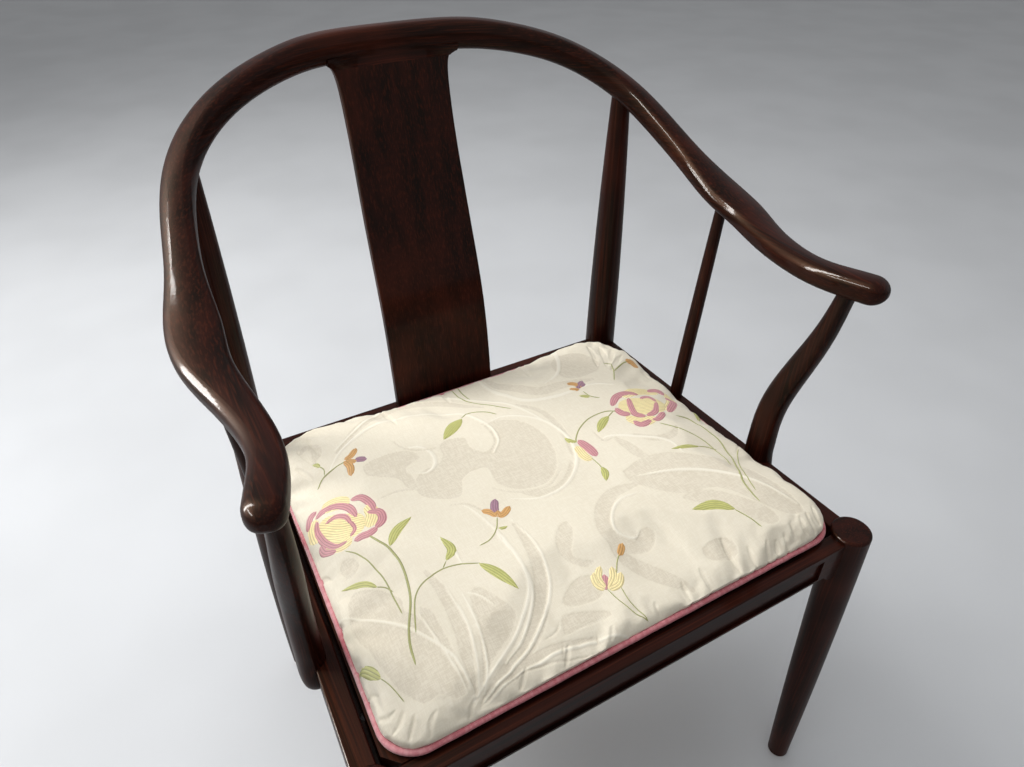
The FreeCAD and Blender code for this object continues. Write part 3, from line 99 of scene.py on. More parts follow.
class CushionSettings(PropertyGroup):
    """Loose cushion"""
    net: length("Net", "Spacing of the net that is stuffed", 5)
    cap: length("Puff", "Furthest that the stuffing moves the cloth", 5)
    pressure: number("Pressure", "Pressure of the stuffing", 4.0, max=20.0)
    tuck: length("Tuck", "How far the cover stops inside the piping's outer side", 3.2)
    relief: length("Relief", "Height of the woven scrolls", 0.55)
    fold: length("Gather", "Depth of the gathers beside the seam", 1.05)
    full: number("Fullness", "Swelling close to the seam", 1.3, max=2.0)
    edge: length("Swollen edge", "How far the swelling at the seam reaches inwards", 14)
    thread: length("Thread", "Width of one thread, drawn coarse", 0.9)
    ground: colour("Ground", "Ivory ground of the brocade", "#e2d9c5")
    # The shade tone is also painted into the sunk grooves along the scrolls as painted shade.
    shade: colour("Shade", "Woven shade inside the scrolls", "#cdc2ae")
    light: colour("Light", "Palest threads along the scrolls", "#ece5d4")
    piping: colour("Piping", "Pink of the piping", "#b25d66")
    # Paler pink of the lit piping: on the raised ribs it is painted highlight, on the fine nap it
    # is the cloth's own.
    piping_nap_and_highlight: colour("Piping nap", "Paler threads of the piping", "#cf9093")
    seam: colour("Seam", "Stitching beside the piping", "#8a2f3d")


class EmbroiderySettings(PropertyGroup):
    """Embroidered flowers"""
    lift: length("Lift", "How far the silk stands on the cover", 0.45)
    stitch: length("Stitch row", "Width of one row of stitches, drawn coarse", 2.4)
    pink: colour("Pink", "Outer petals", "#cb9195")
    yellow: colour("Yellow", "Inner petals", "#f1dfa9")
    leaf: colour("Leaf", "Leaves", "#bcbb74")
    stem: colour("Stem", "Stems", "#a3a36c")
    orange: colour("Orange", "Small buds", "#cfa066")
    violet: colour("Violet", "Tips of the small buds", "#a07c8c")


class StrapSettings(PropertyGroup):
    """Straps under the cushion"""
    width: length("Width", "Width of a strap", 50)
    thickness: length("Thickness", "Thickness of a strap", 1.4)
    thread: length("Thread", "Width of one jute thread", 1.6)
    jute: colour("Jute", "Threads of the straps", "#a1815a")
    shadow: colour("Shadow", "Hollows between the threads", "#6a4e33")
    stripe: colour("Stripe", "Coloured threads along the straps", "#6d3a2b")


class StageSettings(PropertyGroup):
    """Floor and lamps"""
    floor: colour("Floor", "Floor and background", "#cfd1d4")
    window: number("Window", "Power of the tall window in the lacquer", 280.0, unit="POWER")
    pane: number("Pane", "Power of the low window in the lacquer", 56.0, unit="POWER")
    daylight: number("Daylight", "Power of the light from the side", 36.0, unit="POWER")
    ceiling: number("Ceiling", "Power of the light from above", 46.0, unit="POWER")
    sky: number("Surroundings", "Strength of the light from all round", 0.29)


def settings(part):
    return getattr(bpy.context.scene, "armchair_" + part)


def add(tree, kind, inputs=None, **traits):
    """Add a node and give its outputs. An input is a value, or another node's output to link."""
    made = tree.nodes.new("ShaderNode" + kind)
    for trait, value in traits.items():
        setattr(made, trait, value)
    for socket, value in (inputs or {}).items():
        if isinstance(value, bpy.types.NodeSocket):
            tree.links.new(value, made.inputs[socket])
        else:
            made.inputs[socket].default_value = value
    return made.outputs


def new_material(name, surface, *given):
    """A material whose surface(tree, *given) makes its nodes and gives its shader's inputs."""
    material = bpy.data.materials.new(name)
    material.use_nodes = True
    tree = material.node_tree
    tree.nodes.clear()
    skin = add(tree, "BsdfPrincipled", surface(tree, *given))
    add(tree, "OutputMaterial", {"Surface": skin["BSDF"]})
    return material


def lit(hue, factor):
    """A colour made paler or deeper by a factor."""
    return (*(min(1.0, value * factor) for value in hue[:3]), 1.0)


def threads(tree, place, sizes, detail=2.0):
    """A fine irregular pattern whose grains have the given sizes along each axis."""
    scale = tuple(1 / size for size in sizes)
    scaled = add(tree, "Mapping", {"Vector": place, "Scale": scale})[0]
    return add(tree, "TexNoise", {"Vector": scaled, "Scale": 1.0, "Detail": detail})["Fac"]


def dyed(tree, tone, pattern, low, high, weight, hue):
    """Blend a hue over a tone where a pattern rises from low to high."""
    spans = {"Value": pattern, "From Min": low, "From Max": high, "To Max": weight}
    shown = add(tree, "MapRange", spans, interpolation_type="SMOOTHSTEP")[0]
    return add(tree, "Mix", {0: shown, 6: tone, 7: hue}, data_type="RGBA")[2]


# The stained frame.


def both(*stems):
    """The names of parts that come as a left and a right one."""
    return tuple(stem + side for stem in stems for side in ("_left", "_right"))


GRAIN = {
    "bow": ("crest_rail",) + both("arm"),
    "upright": ("splat",) + both("rear_post", "front_leg", "spindle", "arm_post"),
    "crosswise": ("front_rail", "rear_rail", "seat_frame_front", "seat_frame_rear"),
    "lengthwise": both("side_rail", "seat_frame", "seat_ledge"),
    "block": both("corner_block_front", "corner_block_rear"),
}
GRAIN_TURNS = {"upright": (0, 0, 0), "crosswise": (0, QUARTER, 0), "lengthwise": (QUARTER, 0, 0),
               "block": (0, QUARTER, QUARTER / 2)}
BOW_CENTRE_Y = -18 * MM
BOW_RADIUS = 270 * MM


def bow_coordinates(tree, place):
    """Coordinates that follow the bow: out from its centre, up, and along it."""
    parts = add(tree, "SeparateXYZ", {0: place})
    ahead = add(tree, "Math", {0: parts["Y"], 1: BOW_CENTRE_Y}, operation="SUBTRACT")[0]
    behind, before = [add(tree, "Math", {0: ahead, 1: 0.0}, operation=kind)[0]
                      for kind in ("MAXIMUM", "MINIMUM")]
    flat = add(tree, "CombineXYZ", {"X": parts["X"], "Y": behind})[0]
    radius = add(tree, "VectorMath", {0: flat}, operation="LENGTH")["Value"]
    angle = add(tree, "Math", {0: behind, 1: parts["X"]}, operation="ARCTAN2")[0]
    side = add(tree, "Math", {0: parts["X"]}, operation="SIGN")[0]
    straight = add(tree, "Math", {0: side, 1: before}, operation="MULTIPLY")[0]
    along = add(tree, "Math", {0: angle, 1: BOW_RADIUS, 2: straight}, operation="MULTIPLY_ADD")[0]
    return add(tree, "CombineXYZ", {"X": radius, "Y": parts["Z"], "Z": along})[0]


def grain_coordinates(tree, direction):
    """Coordinates with X and Y across the grain and Z along it."""
    place = add(tree, "TexCoord")["Object"]
    if direction == "bow":
        return bow_coordinates(tree, place)
    return add(tree, "Mapping", {"Vector": place, "Rotation": GRAIN_TURNS[direction]})[0]


def mahogany(tree, direction):
    """Mahogany, planed, stained dark and sprayed with semi-gloss lacquer: straight fine
    grain with darker pores under a smooth skin that mirrors a window as a sharp streak."""
    wood = settings("wood")
    grain = grain_coordinates(tree, direction)
    stripes = threads(tree, grain, (wood.stripe, wood.stripe, wood.stripe * 30))
    lines = threads(tree, grain, (wood.grain, wood.grain, wood.grain * 90), 1.5)
    pores = threads(tree, grain, (wood.pore, wood.pore, wood.pore * 14))
    clouds = add(tree, "TexNoise", {"Vector": grain, "Scale": 9.0})["Fac"]
    tone = dyed(tree, wood.dark[:], stripes, 0.34, 0.66, 1.0, wood.middle)
    tone = dyed(tree, tone, lines, 0.46, 0.76, 0.4, wood.light)
    tone = dyed(tree, tone, clouds, 0.5, 0.8, 0.45, wood.light)
    tone = dyed(tree, tone, pores, 0.58, 0.72, 0.4, wood.dark)
    hollow = add(tree, "Math", {0: lines, 1: 0.6, 2: pores}, operation="MULTIPLY_ADD")[0]
    bump = {"Height": hollow, "Strength": 0.12, "Distance": 0.0003}
    rough = add(tree, "MapRange", {"Value": lines, "To Min": 0.36, "To Max": 0.52})[0]
    return {"Base Color": tone, "Normal": add(tree, "Bump", bump)[0], "Roughness": rough,
            "IOR": 1.5, "Specular IOR Level": 0.06, "Specular Tint": wood.amber,
            "Coat Weight": wood.lacquer, "Coat Roughness": wood.gloss}


def finish(piece, material):
    """Give a piece its only material."""
    piece.data.materials.clear()
    piece.data.materials.append(material)


class ARMCHAIR_OT_frame(Operator):
    """Stain and lacquer the wooden frame"""
    bl_idname = "armchair.frame"
    bl_label = "Wooden frame"

    def execute(self, context):
        for direction, names in GRAIN.items():
            material = new_material("stained_mahogany_" + direction, mahogany, direction)
            for name in names:
                finish(NODES[name], material)
        return {"FINISHED"}


# Screws and glides. The grains of their patterns are in metres.

STEEL_SPECK = (0.0011, 0.0011, 0.0011)
NYLON_SCUFF = (0.004, 0.0007, 0.004)


def zinc_steel(tree):
    """Zinc-plated steel screws: cold-formed, bright, with a faint brushed blur."""
    specks = threads(tree, add(tree, "TexCoord")["Object"], STEEL_SPECK, 3.0)
    tone = dyed(tree, linear("#b9b6ad"), specks, 0.3, 0.7, 1.0, linear("#8f8b80"))
    rough = add(tree, "MapRange", {"Value": specks, "To Min": 0.25, "To Max": 0.45})[0]
    return {"Base Color": tone, "Roughness": rough, "Metallic": 1.0}


def nylon(tree):
    """Moulded nylon glides: matt, a little translucent white gone yellow and scuffed."""
    scuffs = threads(tree, add(tree, "TexCoord")["Object"], NYLON_SCUFF, 4.0)
    tone = dyed(tree, linear("#c9bfa8"), scuffs, 0.4, 0.7, 1.0, linear("#8d816b"))
    bump = add(tree, "Bump", {"Height": scuffs, "Strength": 0.2, "Distance": 0.0002})[0]
    return {"Base Color": tone, "Normal": bump, "Roughness": 0.55}


class ARMCHAIR_OT_hardware(Operator):
    """Finish the screws and the foot glides"""
    bl_idname = "armchair.hardware"
    bl_label = "Screws and glides"

    def execute(self, context):
        steel = new_material("zinc_plated_steel", zinc_steel)
        for name in ("arm_post_screws", "corner_block_screws", "seat_frame_screws", "ledge_screws"):
            finish(NODES[name], steel)
        finish(NODES["foot_glides"], new_material("moulded_nylon", nylon))
        return {"FINISHED"}


# Lines and strips.

RUN_POINTS = 12
FEWEST_POINTS = 4


def even(line, count):
    """Points spread evenly along a line of points."""
    gone = np.concatenate(([0.0], np.cumsum(np.linalg.norm(np.diff(line, axis=0), axis=1))))
    places = np.linspace(0.0, gone[-1], count)
    return np.stack([np.interp(places, gone, line[:, axis]) for axis in (0, 1)], axis=1), gone[-1]


def smooth_line(numbers, spacing):
    """Evenly spread points on a smooth line through given ones, and its length."""
    line = np.reshape(numbers, (-1, 2)) * MM
    ends = np.vstack((2 * line[0] - line[1], line, 2 * line[-1] - line[-2]))
    gone = np.linspace(0.0, 1.0, RUN_POINTS, endpoint=False)[:, None]
    runs = []
    for before, start, end, after in zip(ends, ends[1:], ends[2:], ends[3:]):
        bend = 2 * before - 5 * start + 4 * end - after
        twist = 3 * start - before - 3 * end + after
        runs.append((2 * start + (end - before) * gone + bend * gone ** 2 + twist * gone ** 3) / 2)
    dense = np.vstack(runs + [line[-1:]])
    total = np.linalg.norm(np.diff(dense, axis=0), axis=1).sum()
    return even(dense, max(FEWEST_POINTS, int(total / spacing)))


def sideways(line):
    """The unit direction to the left of a line at each of its points."""
    ahead = np.gradient(line, axis=0)
    ahead /= np.maximum(np.linalg.norm(ahead, axis=1, keepdims=True), 1e-9)
    return np.stack((-ahead[:, 1], ahead[:, 0]), axis=1)


def strip(form, columns, rows, place, skin=0):
    """A grid bent by place(along, across), which gives a point and its UV in metres."""
    made = bmesh.ops.create_grid(form, x_segments=columns, y_segments=rows, size=1.0)["verts"]
    uv = form.loops.layers.uv.verify()
    for vertex in made:
        step = round((vertex.co.x + 1) / 2 * columns)
        vertex.co, place_uv = place(step, (vertex.co.y + 1) / 2)
        for loop in vertex.link_loops:
            loop[uv].uv = place_uv
    for face in {face for vertex in made for face in vertex.link_faces}:
        face.material_index = skin
        face.smooth = True


def new_piece(name, mesh):
    piece = bpy.data.objects.new(name, mesh)
    bpy.context.scene.collection.objects.link(piece)
    return piece


def piece_from(name, form, materials):
    """Close a bmesh into a named piece with its materials."""
    mesh = bpy.data.meshes.new(name)
    form.to_mesh(mesh)
    form.free()
    for material in materials:
        mesh.materials.append(material)
    return new_piece(name, mesh)


# The cover's pattern in millimetres. Each stroke is its width, then its points' x and y by turns.

STEMS = (
    (2.5, -178, -42, -172, -57, -166, -72, -164, -92, -166, -112, -172, -134, -183, -156,
     -189, -172, -192, -190),
    (1.4, -201, -45, -192, -58, -185, -80, -182, -101, -182, -118, -183, -142),
    (1.2, -191, -100, -184, -106, -180, -114),
    (1.6, -181, -166, -173, -145, -166, -132, -155, -124, -137, -120, -121, -122, -103, -130),
    (1.3, -135, -120, -128, -113), (1.5, -162, 56, -176, 54, -190, 53, -198, 46),
    (1.3, -187, 54, -185, 60, -188, 67), (1.4, -63, -89, -71, -102, -82, -110, -94, -112),
    (1, -13, -200, -9, -215, -2, -229, 6, -238), (1.1, -1, -204, -1, -219, 6, -238),
    (1.2, 3, -192, 10, -183, 17, -177),
    (2.3, 191, -46, 207, -53, 210, -77, 211, -102, 201, -130, 180, -162, 175, -181, 174, -194),
    (1.4, 226, -113, 212, -126, 190, -155, 181, -181),
    (1.7, 159, -55, 175, -71, 189, -89, 195, -110, 189, -138),
    (1.5, 197, -108, 187, -102, 177, -100), (1.4, 144, -190, 152, -204, 157, -216),
    (1.7, 134, -20, 119, -10, 97, -10, 78, -19, 65, -31, 61, -38), (1.5, 126, -14, 115, -19),
    (1.4, 62, -65, 63, -79, 62, -86), (1.6, 1, 165, -2, 145, -5, 110, 2, 84, 15, 60, 28, 45),
    (1.6, 12, 162, 3, 125, 2, 97), (1.7, 9, 44, 0, 55, -15, 63, -28, 59),
    (1.7, 163, 35, 176, 54, 181, 68, 174, 73), (1.7, 175, 52, 198, 66, 209, 70),
    (1.6, 127, 13, 119, 22, 117, 33), (1, -220, -183, -215, -197, -211, -211),
)
LEAVES = (
    (10.9, -165, -70, -152, -56, -134, -48), (9.4, -128, -113, -118, -103, -121, -85),
    (11, -104, -130, -95, -146, -86, -170), (6.9, -190, -101, -200, -89, -218, -82),
    (9.1, -220, -184, -225, -172, -234, -160), (15.1, -28, 57, -42, 49, -60, 36),
    (11.2, 117, -18, 106, -23, 91, -35), (6.7, 63, -36, 57, -33, 54, -25),
    (8.7, 63, -81, 62, -89, 56, -100), (12.9, 145, -190, 131, -177, 107, -171),
    (6.6, 178, -100, 162, -98, 143, -95), (10, 219, -56, 230, -39, 239, -21),
    (6, 118, 20, 114, 24, 108, 28), (4.4, -69, -102, -65, -104, -60, -104),
    (5.1, -187, 65, -190, 71, -193, 74),
)
BUDS = {
    "orange": (
        (7.7, -163, 59, -155, 61, -146, 70), (8.8, -164, 57, -161, 47, -164, 35),
        (7.7, -162, 58, -158, 53, -152, 51), (7.9, -63, -89, -66, -81, -73, -75),
        (7.9, -63, -89, -56, -89, -46, -83), (6.8, -65, -86, -60, -84, -60, -89),
        (7.4, 15, -179, 20, -175, 26, -169), (7.7, 119, 39, 116, 50, 108, 54),
        (9.8, 207, 71, 215, 69, 219, 59), (6.1, 115, 37, 110, 41, 105, 44),
    ),
    "violet": (
        (9, -154, 53, -148, 51, -142, 48), (9.1, -62, -86, -60, -78, -54, -68),
        (7.7, 114, 39, 120, 45, 128, 51), (6.1, 118, 41, 124, 43, 127, 46),
    ),
    "yellow": (
        (8.8, -13, -200, -18, -192, -16, -182), (8.9, -12, -201, -1, -201, 7, -193),
        (7.9, -13, -199, -14, -188, -7, -180), (8, -12, -200, -2, -194, 2, -185),
        (11.6, 61, -68, 57, -59, 58, -42),
    ),
    "pink": (
        (7.9, -14, -201, -11, -194, -8, -188), (11.8, 68, -66, 68, -53, 65, -35),
    ),
}
ROSE_YELLOW = (
    (33, -213, 0, -196, -17, -173, -29), (18.6, -204, 14, -190, 13, -177, 4),
    (15.9, -213, -24, -202, -36, -190, -37), (13.1, -212, 9, -218, 0, -219, -16),
    (15.8, -165, -10, -164, -24, -173, -37), (35, 135, -11, 158, -21, 190, -26),
    (16.7, 150, 2, 181, 7, 200, -3), (15.4, 132, -29, 143, -45, 162, -45),
    (14.8, 210, -3, 207, -20, 184, -39),
)
ROSE_PINK = (
    (7.9, -222, 4, -216, 15, -208, 18), (9.2, -212, 9, -202, 13, -188, 8, -180, -3, -178, -18),
    (8.5, -212, 6, -215, -6, -213, -21, -205, -34, -195, -37),
    (9.3, -176, 6, -166, 2, -161, -10, -161, -22),
    (10.1, -168, -19, -158, -25, -159, -36, -168, -42),
    (9.7, -166, -42, -175, -44, -182, -42, -190, -42),
    (6.8, -206, -4, -195, -3, -187, -10, -185, -21), (8.4, -218, -21, -216, -31, -207, -39),
    (5.5, -185, -17, -184, -28, -191, -34), (10.6, 130, -6, 144, 5, 159, 6, 171, -1),
    (10, 131, -11, 133, -22, 140, -28), (10, 155, -3, 147, -20, 145, -31, 153, -39),
    (7.5, 167, -10, 180, -8, 181, -22), (8.7, 154, -39, 168, -36, 181, -22),
    (9.8, 135, -39, 140, -48, 154, -47), (10.6, 190, 5, 204, 5, 206, -7),
    (11.8, 204, -11, 207, -22, 184, -40), (8.5, 178, -40, 164, -48, 155, -47),
)
SCROLLS = (
    (16.5, 58, -172, 46, -180, 31, -175, 21, -164, 20, -149, 32, -129, 52, -117, 79, -118),
    (15.1, 15, -163, 18, -182, 33, -203, 51, -222, 60, -232),
    (11.7, 102, -52, 106, -69, 109, -86, 116, -97), (9.6, 123, -57, 139, -73, 160, -76, 174, -67),
    (11.7, -159, -227, -154, -206, -147, -179, -145, -148, -149, -115),
    (14, -152, -234, -125, -223, -98, -211, -76, -191, -61, -166, -54, -137, -53, -105),
    (6.9, -140, -234, -111, -225, -82, -225, -48, -230),
    (12.9, -165, 74, -135, 100, -82, 132, -33, 115, 3, 67),
    (15.1, 40, 134, 47, 94, 69, 60, 102, 55, 141, 49),
    (11.8, -198, 102, -187, 108, -183, 91, -191, 74), (6.8, 37, 49, 56, 24, 59, -13, 48, -51),
)
SCROLL_LINES = (
    (4.4, 88, -110, 131, -124, 166, -145, 194, -174, 212, -210),
    (3.1, -230, -106, -214, -119, -195, -142, -178, -167, -164, -194, -160, -219, -161, -234),
    (3.8, -15, 34, 16, 36, 48, 12, 58, -24, 48, -58, 22, -82, -12, -88, -41, -75),
    (3.8, -104, 45, -87, 38, -80, 23, -84, 6, -96, -1, -107, 4),
    (2.9, -155, -235, -120, -224, -86, -206, -57, -175, -48, -136, -53, -99),
    (3.1, -163, -233, -133, -218, -100, -197, -76, -171, -70, -140, -72, -103, -81, -67, -94, -50),
    (2.6, -154, -237, -120, -231, -80, -229, -43, -234, -9, -242),
    (4.3, -180, 55, -155, 79, -113, 98, -74, 95, -33, 78, -10, 38, -9, 8, -23, -9),
    (4.4, -166, 79, -126, 108, -62, 159, -23, 128, 9, 85, 37, 41, 53, 2),
    (5.2, 36, 165, 32, 102, 45, 55, 84, 40, 132, 40, 157, 28),
    (2.2, -164, -233, -165, -212, -168, -180, -172, -146),
    (2.3, -158, -234, -147, -209, -140, -176, -141, -139),
    (2.3, -155, -235, -141, -215, -133, -183, -131, -147),
    (2.8, 76, -129, 55, -127, 38, -136, 28, -150, 29, -161, 40, -169, 50, -164),
    (2.4, -129, -151, -119, -161, -112, -176),
    (5, 86, 67, 109, 77, 129, 106, 153, 166, 135, 173, 118, 161),
    (2.9, -74, -107, -70, -145, -75, -175, -98, -203, -126, -220),
    (2.6, -124, -82, -117, -102, -118, -125),
    (4.1, 86, -46, 101, -47, 126, -63, 149, -82, 152, -105),
)
# Grooves sunk along the scrolls, darkened to the shade tone as painted shade in the groove.
SHADED_SCROLL_GROOVES = (
    (2.1, -156, -9, -135, -10, -121, -14, -106, -24), (2.3, -108, 63, -103, 47, -88, 34, -66, 27),
    (2.3, -72, -28, -57, -21, -41, -22, -27, -29),
    (2.1, -51, -51, -36, -66, -16, -75, 5, -76, 27, -62), (2.1, -96, -53, -80, -61, -68, -81),
    (1.5, -141, -236, -125, -232, -101, -231, -71, -238, -47, -241), (1.5, -74, -223, -80, -234),
    (2.4, 255, -89, 218, -118), (2.1, 88, -28, 89, -49, 104, -49),
    (1.6, -214, -73, -205, -75, -194, -68), (1.4, -160, -239, -154, -233, -145, -230),
    (1.6, -43, -228, -46, -236), (1.4, -87, -216, -75, -214, -66, -206),
)
GATHERS = (
    (5.2, 115, -207, 112, -223, 113, -240), (4.2, 133, -224, 131, -233, 131, -242),
    (4.2, 153, -228, 149, -236, 147, -243), (4.3, 164, -230, 161, -236, 159, -242),
    (4.3, 175, -229, 174, -237, 174, -244), (4.4, 186, -225, 185, -234, 188, -240),
    (4.5, 200, -224, 197, -234, 202, -240), (4.5, 211, -222, 208, -232, 209, -240),
    (4.6, 224, -218, 220, -228, 220, -234), (4.9, 77, -221, 76, -235, 79, -242),
    (3.8, 54, -224, 53, -235, 54, -242), (3.7, 19, -229, 18, -236, 20, -239),
    (8.3, 200, 116, 187, 89, 174, 66), (6.6, 214, 108, 191, 80, 176, 65),
    (6.6, 185, 122, 175, 94, 164, 72), (6.5, 210, 82, 193, 70, 174, 56),
    (3.8, -227, -224, -220, -222, -214, -216), (3, -218, -234, -212, -228, -208, -223),
    (3.1, -233, -209, -227, -214, -220, -213), (3.8, -203, -239, -199, -233, -193, -229),
    (3.1, -242, -188, -233, -187, -227, -194), (3.1, -170, -240, -165, -235, -159, -231),
    (3.3, -124, -239, -118, -234, -113, -229), (3.4, -81, -240, -75, -233, -71, -227),
    (3.6, -35, -238, -31, -235, -28, -230), (4.9, -240, -54, -229, -52, -221, -62),
    (3.6, -243, -108, -234, -106, -228, -115), (4.1, -245, -158, -235, -156, -229, -164),
    (6.4, -200, 108, -195, 90, -192, 71), (5.3, -184, 124, -183, 102, -182, 80),
    (5, -209, 81, -204, 71, -199, 60), (6, -6, 165, -16, 131, -19, 108),
    (5.6, -92, 145, -93, 116, -94, 87), (6.4, 109, 164, 93, 127, 86, 101),
)

# Fields of the scrolls, each as the x and y of the points round it.

SCROLL_FIELDS = (
    (-15, 38, 7, 33, 26, 21, 37, -3, 36, -31, 25, -56, 7, -71, -11, -72, -30, -65, -41, -50,
     -40, -36, -41, -24, -53, -20, -69, -28, -81, -48, -101, -41, -115, -25, -110, -5, -97, 4,
     -81, 5, -71, 15, -68, 29, -57, 34, -40, 27, -40, 9, -29, -3, -15, 6, -12, 25),
    (-150, 40, -135, 44, -113, 44, -97, 36, -93, 24, -104, 20, -113, 13, -111, -2, -113, -16,
     -122, -11, -125, 5, -140, 17, -151, 27),
    (-30, -70, -18, -84, -2, -90, 18, -85, 36, -73, 42, -57, 23, -73, 4, -80, -13, -76),
    (135, 120, 160, 108, 171, 80, 158, 63, 125, 60, 111, 74, 117, 103),
    (78, -97, 104, -92, 134, -96, 165, -115, 199, -141, 209, -174, 214, -208, 209, -220, 191, -216,
     173, -195, 160, -173, 143, -158, 119, -154, 98, -140, 82, -121, 76, -109),
    (107, -155, 120, -153, 141, -161, 160, -180, 175, -200, 179, -216, 169, -219, 158, -209,
     148, -194, 138, -176, 120, -168),
    (50, -164, 59, -165, 61, -173, 55, -181, 44, -182, 39, -176, 42, -167),
    (91, -206, 103, -204, 119, -207, 123, -217, 119, -225, 109, -226, 94, -221, 89, -213),
    (-8, -126, -9, -137, -16, -149, -23, -157, -21, -165, -9, -174, -19, -175, -29, -165, -34, -151,
     -28, -137, -17, -127),
    (-218, -99, -208, -92, -189, -105, -178, -124, -180, -140, -174, -151, -171, -172, -164, -194,
     -162, -211, -162, -224, -174, -228, -185, -220, -198, -220, -205, -211, -212, -199, -217, -174,
     -220, -150, -224, -125),
    (-168, -144, -161, -154, -160, -176, -162, -199, -168, -192, -173, -177, -174, -160),
    (-126, -154, -116, -152, -105, -171, -99, -187, -109, -199, -127, -210, -140, -218, -151, -228,
     -141, -204, -133, -179),
    (-56, -193, -46, -185, -32, -179, -18, -184, -15, -198, -23, -204, -38, -203, -52, -200),
    (-67, -209, -61, -204, -46, -207, -26, -215, -23, -222, -35, -221, -49, -220, -63, -220,
     -69, -218),
    (-207, -53, -198, -57, -195, -67, -201, -75, -209, -74, -212, -61),
)


# The cushion.

STUFFING_FRAMES = 20
CLOTH = {"use_pressure": True, "vertex_group_mass": "seam", "shrink_min": -0.015,
         "tension_stiffness": 12, "bending_stiffness": 0.4}
SEAM_Z = (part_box("cushion_piping")[0].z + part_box("cushion_piping")[1].z) / 2
SEAM_REACH = 0.8    # of the net's spacing, held beside the seam
UPWARD = -0.1       # least rise of a face's normal on the upper side

# A stroke's soft edge, and how its ends narrow.

BAND_EDGE = 0.9 * MM
SOFT_SHARE = 0.06
BLUNT_END = 0.03
TAPER = 0.45

# Ripples of the upper side: radians for each metre in x and in y, and a phase.

WAVES = ((9.0, 23.0, 0.4), (-31.0, 14.0, 1.3), (26.0, -37.0, 2.1), (47.0, 42.0, 0.7))
WAVE_HEIGHT = 0.45 * MM

# The outline's corners: the middle of each arc and its radius, in millimetres.

CORNERS = ((-204.5, -211.25, 33), (209.5, -211.25, 33), (183.5, 104.75, 48), (-178.5, 104.75, 48))
ARC_POINTS = 24
PIPING_STEPS = 620
SEAM_SPOTS = 124
PAIRS_AT_ONCE = 4000000


def brocade(tree):
    """Cotton and silk brocade, woven on a jacquard loom: an ivory ground with scrolls in
    the same colour that show by their weave, fine cross threads and a soft silk sheen."""
    cushion = settings("cushion")
    thin, long = cushion.thread, cushion.thread * 8
    place = add(tree, "TexCoord")["Object"]
    tone = add(tree, "Attribute", attribute_name="scroll_tone")["Fac"]
    warp = threads(tree, place, (thin, long, long))
    weft = threads(tree, place, (long, thin, long))
    cloth = add(tree, "Math", {0: warp, 1: weft}, operation="ADD")[0]
    clouds = add(tree, "TexNoise", {"Vector": place, "Scale": 11.0})["Fac"]
    specks = threads(tree, place, (thin * 1.6,) * 3)
    dots = add(tree, "Math", {0: tone, 1: specks}, operation="MULTIPLY")[0]
    base = dyed(tree, cushion.ground, tone, 0.5, 0.95, 0.65, cushion.shade)
    base = dyed(tree, base, dots, 0.45, 0.7, 0.2, cushion.ground)
    base = dyed(tree, base, tone, 0.45, 0.05, 1.0, cushion.light)
    base = dyed(tree, base, clouds, 0.45, 0.8, 0.3, cushion.shade)
    base = dyed(tree, base, cloth, 0.86, 1.2, 0.4, cushion.light)
    bump = add(tree, "Bump", {"Height": cloth, "Strength": 0.35, "Distance": 0.0004})[0]
    return {"Base Color": base, "Normal": bump, "Roughness": 0.78, "Specular IOR Level": 0.15,
            "Sheen Weight": 0.25, "Sheen Roughness": 0.4}


def coordinates(mesh, kind="co"):
    values = np.zeros(len(mesh.vertices) * 3)
    mesh.vertices.foreach_get(kind, values)
    return values.reshape(-1, 3)


def place_points(mesh, points):
    mesh.vertices.foreach_set("co", points.ravel())
    mesh.update()


def applied(piece):
    """Put a piece's modifiers into its mesh."""
    graph = bpy.context.evaluated_depsgraph_get()
    mesh = bpy.data.meshes.new_from_object(piece.evaluated_get(graph))
    piece.modifiers.clear()
    piece.data = mesh
    return piece


def outline(inset):
    """Evenly spread points round the cushion's outline, a distance in from it."""
    arcs = []
    for index, (x, y, radius) in enumerate(CORNERS):
        turns = np.linspace(0, QUARTER, ARC_POINTS) + QUARTER * (index + 2)
        reach = radius * MM - inset
        arcs.append(np.stack((np.cos(turns), np.sin(turns)), axis=1) * reach
                    + np.array((x, y)) * MM)
    return even(np.vstack(arcs + [arcs[0][:1]]), PIPING_STEPS + 1)


def cushion_start():
    """The cushion's plain form as an even net, ready for its stuffing."""
    form = bmesh.new()
    form.from_mesh(NODES["cushion_core"].data)
    bmesh.ops.remove_doubles(form, verts=form.verts, dist=0.01 * MM)
    bmesh.ops.recalc_face_normals(form, faces=form.faces)
    piece = piece_from("cushion", form, [])
    net = piece.modifiers.new("net", "REMESH")
    net.mode = "VOXEL"
    net.voxel_size = settings("cushion").net
    return applied(piece)


def stuff(piece):
    """Swell the net like a stuffed cover, held at its seam, and stop it at the cap."""
    cushion = settings("cushion")
    start = coordinates(piece.data)
    held = piece.vertex_groups.new(name="seam")
    near = np.abs(start[:, 2] - SEAM_Z) < cushion.net * SEAM_REACH
    held.add(np.nonzero(near)[0].tolist(), 1.0, "REPLACE")
    cloth = piece.modifiers.new("stuffing", "CLOTH").settings
    for trait, value in CLOTH.items():
        setattr(cloth, trait, value)
    cloth.uniform_pressure_force = cushion.pressure
    cloth.effector_weights.gravity = 0.0
    for moment in range(1, STUFFING_FRAMES + 1):
        bpy.context.scene.frame_set(moment)
    applied(piece)
    bpy.context.scene.frame_set(1)
    moved = coordinates(piece.data) - start
    reach = np.linalg.norm(moved, axis=1, keepdims=True)
    end = start + moved * np.minimum(1.0, cushion.cap / np.maximum(reach, 1e-9))
    end[:, 2] = np.maximum(end[:, 2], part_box("cushion_cover")[0].z)
    place_points(piece.data, end)
    piece.vertex_groups.clear()


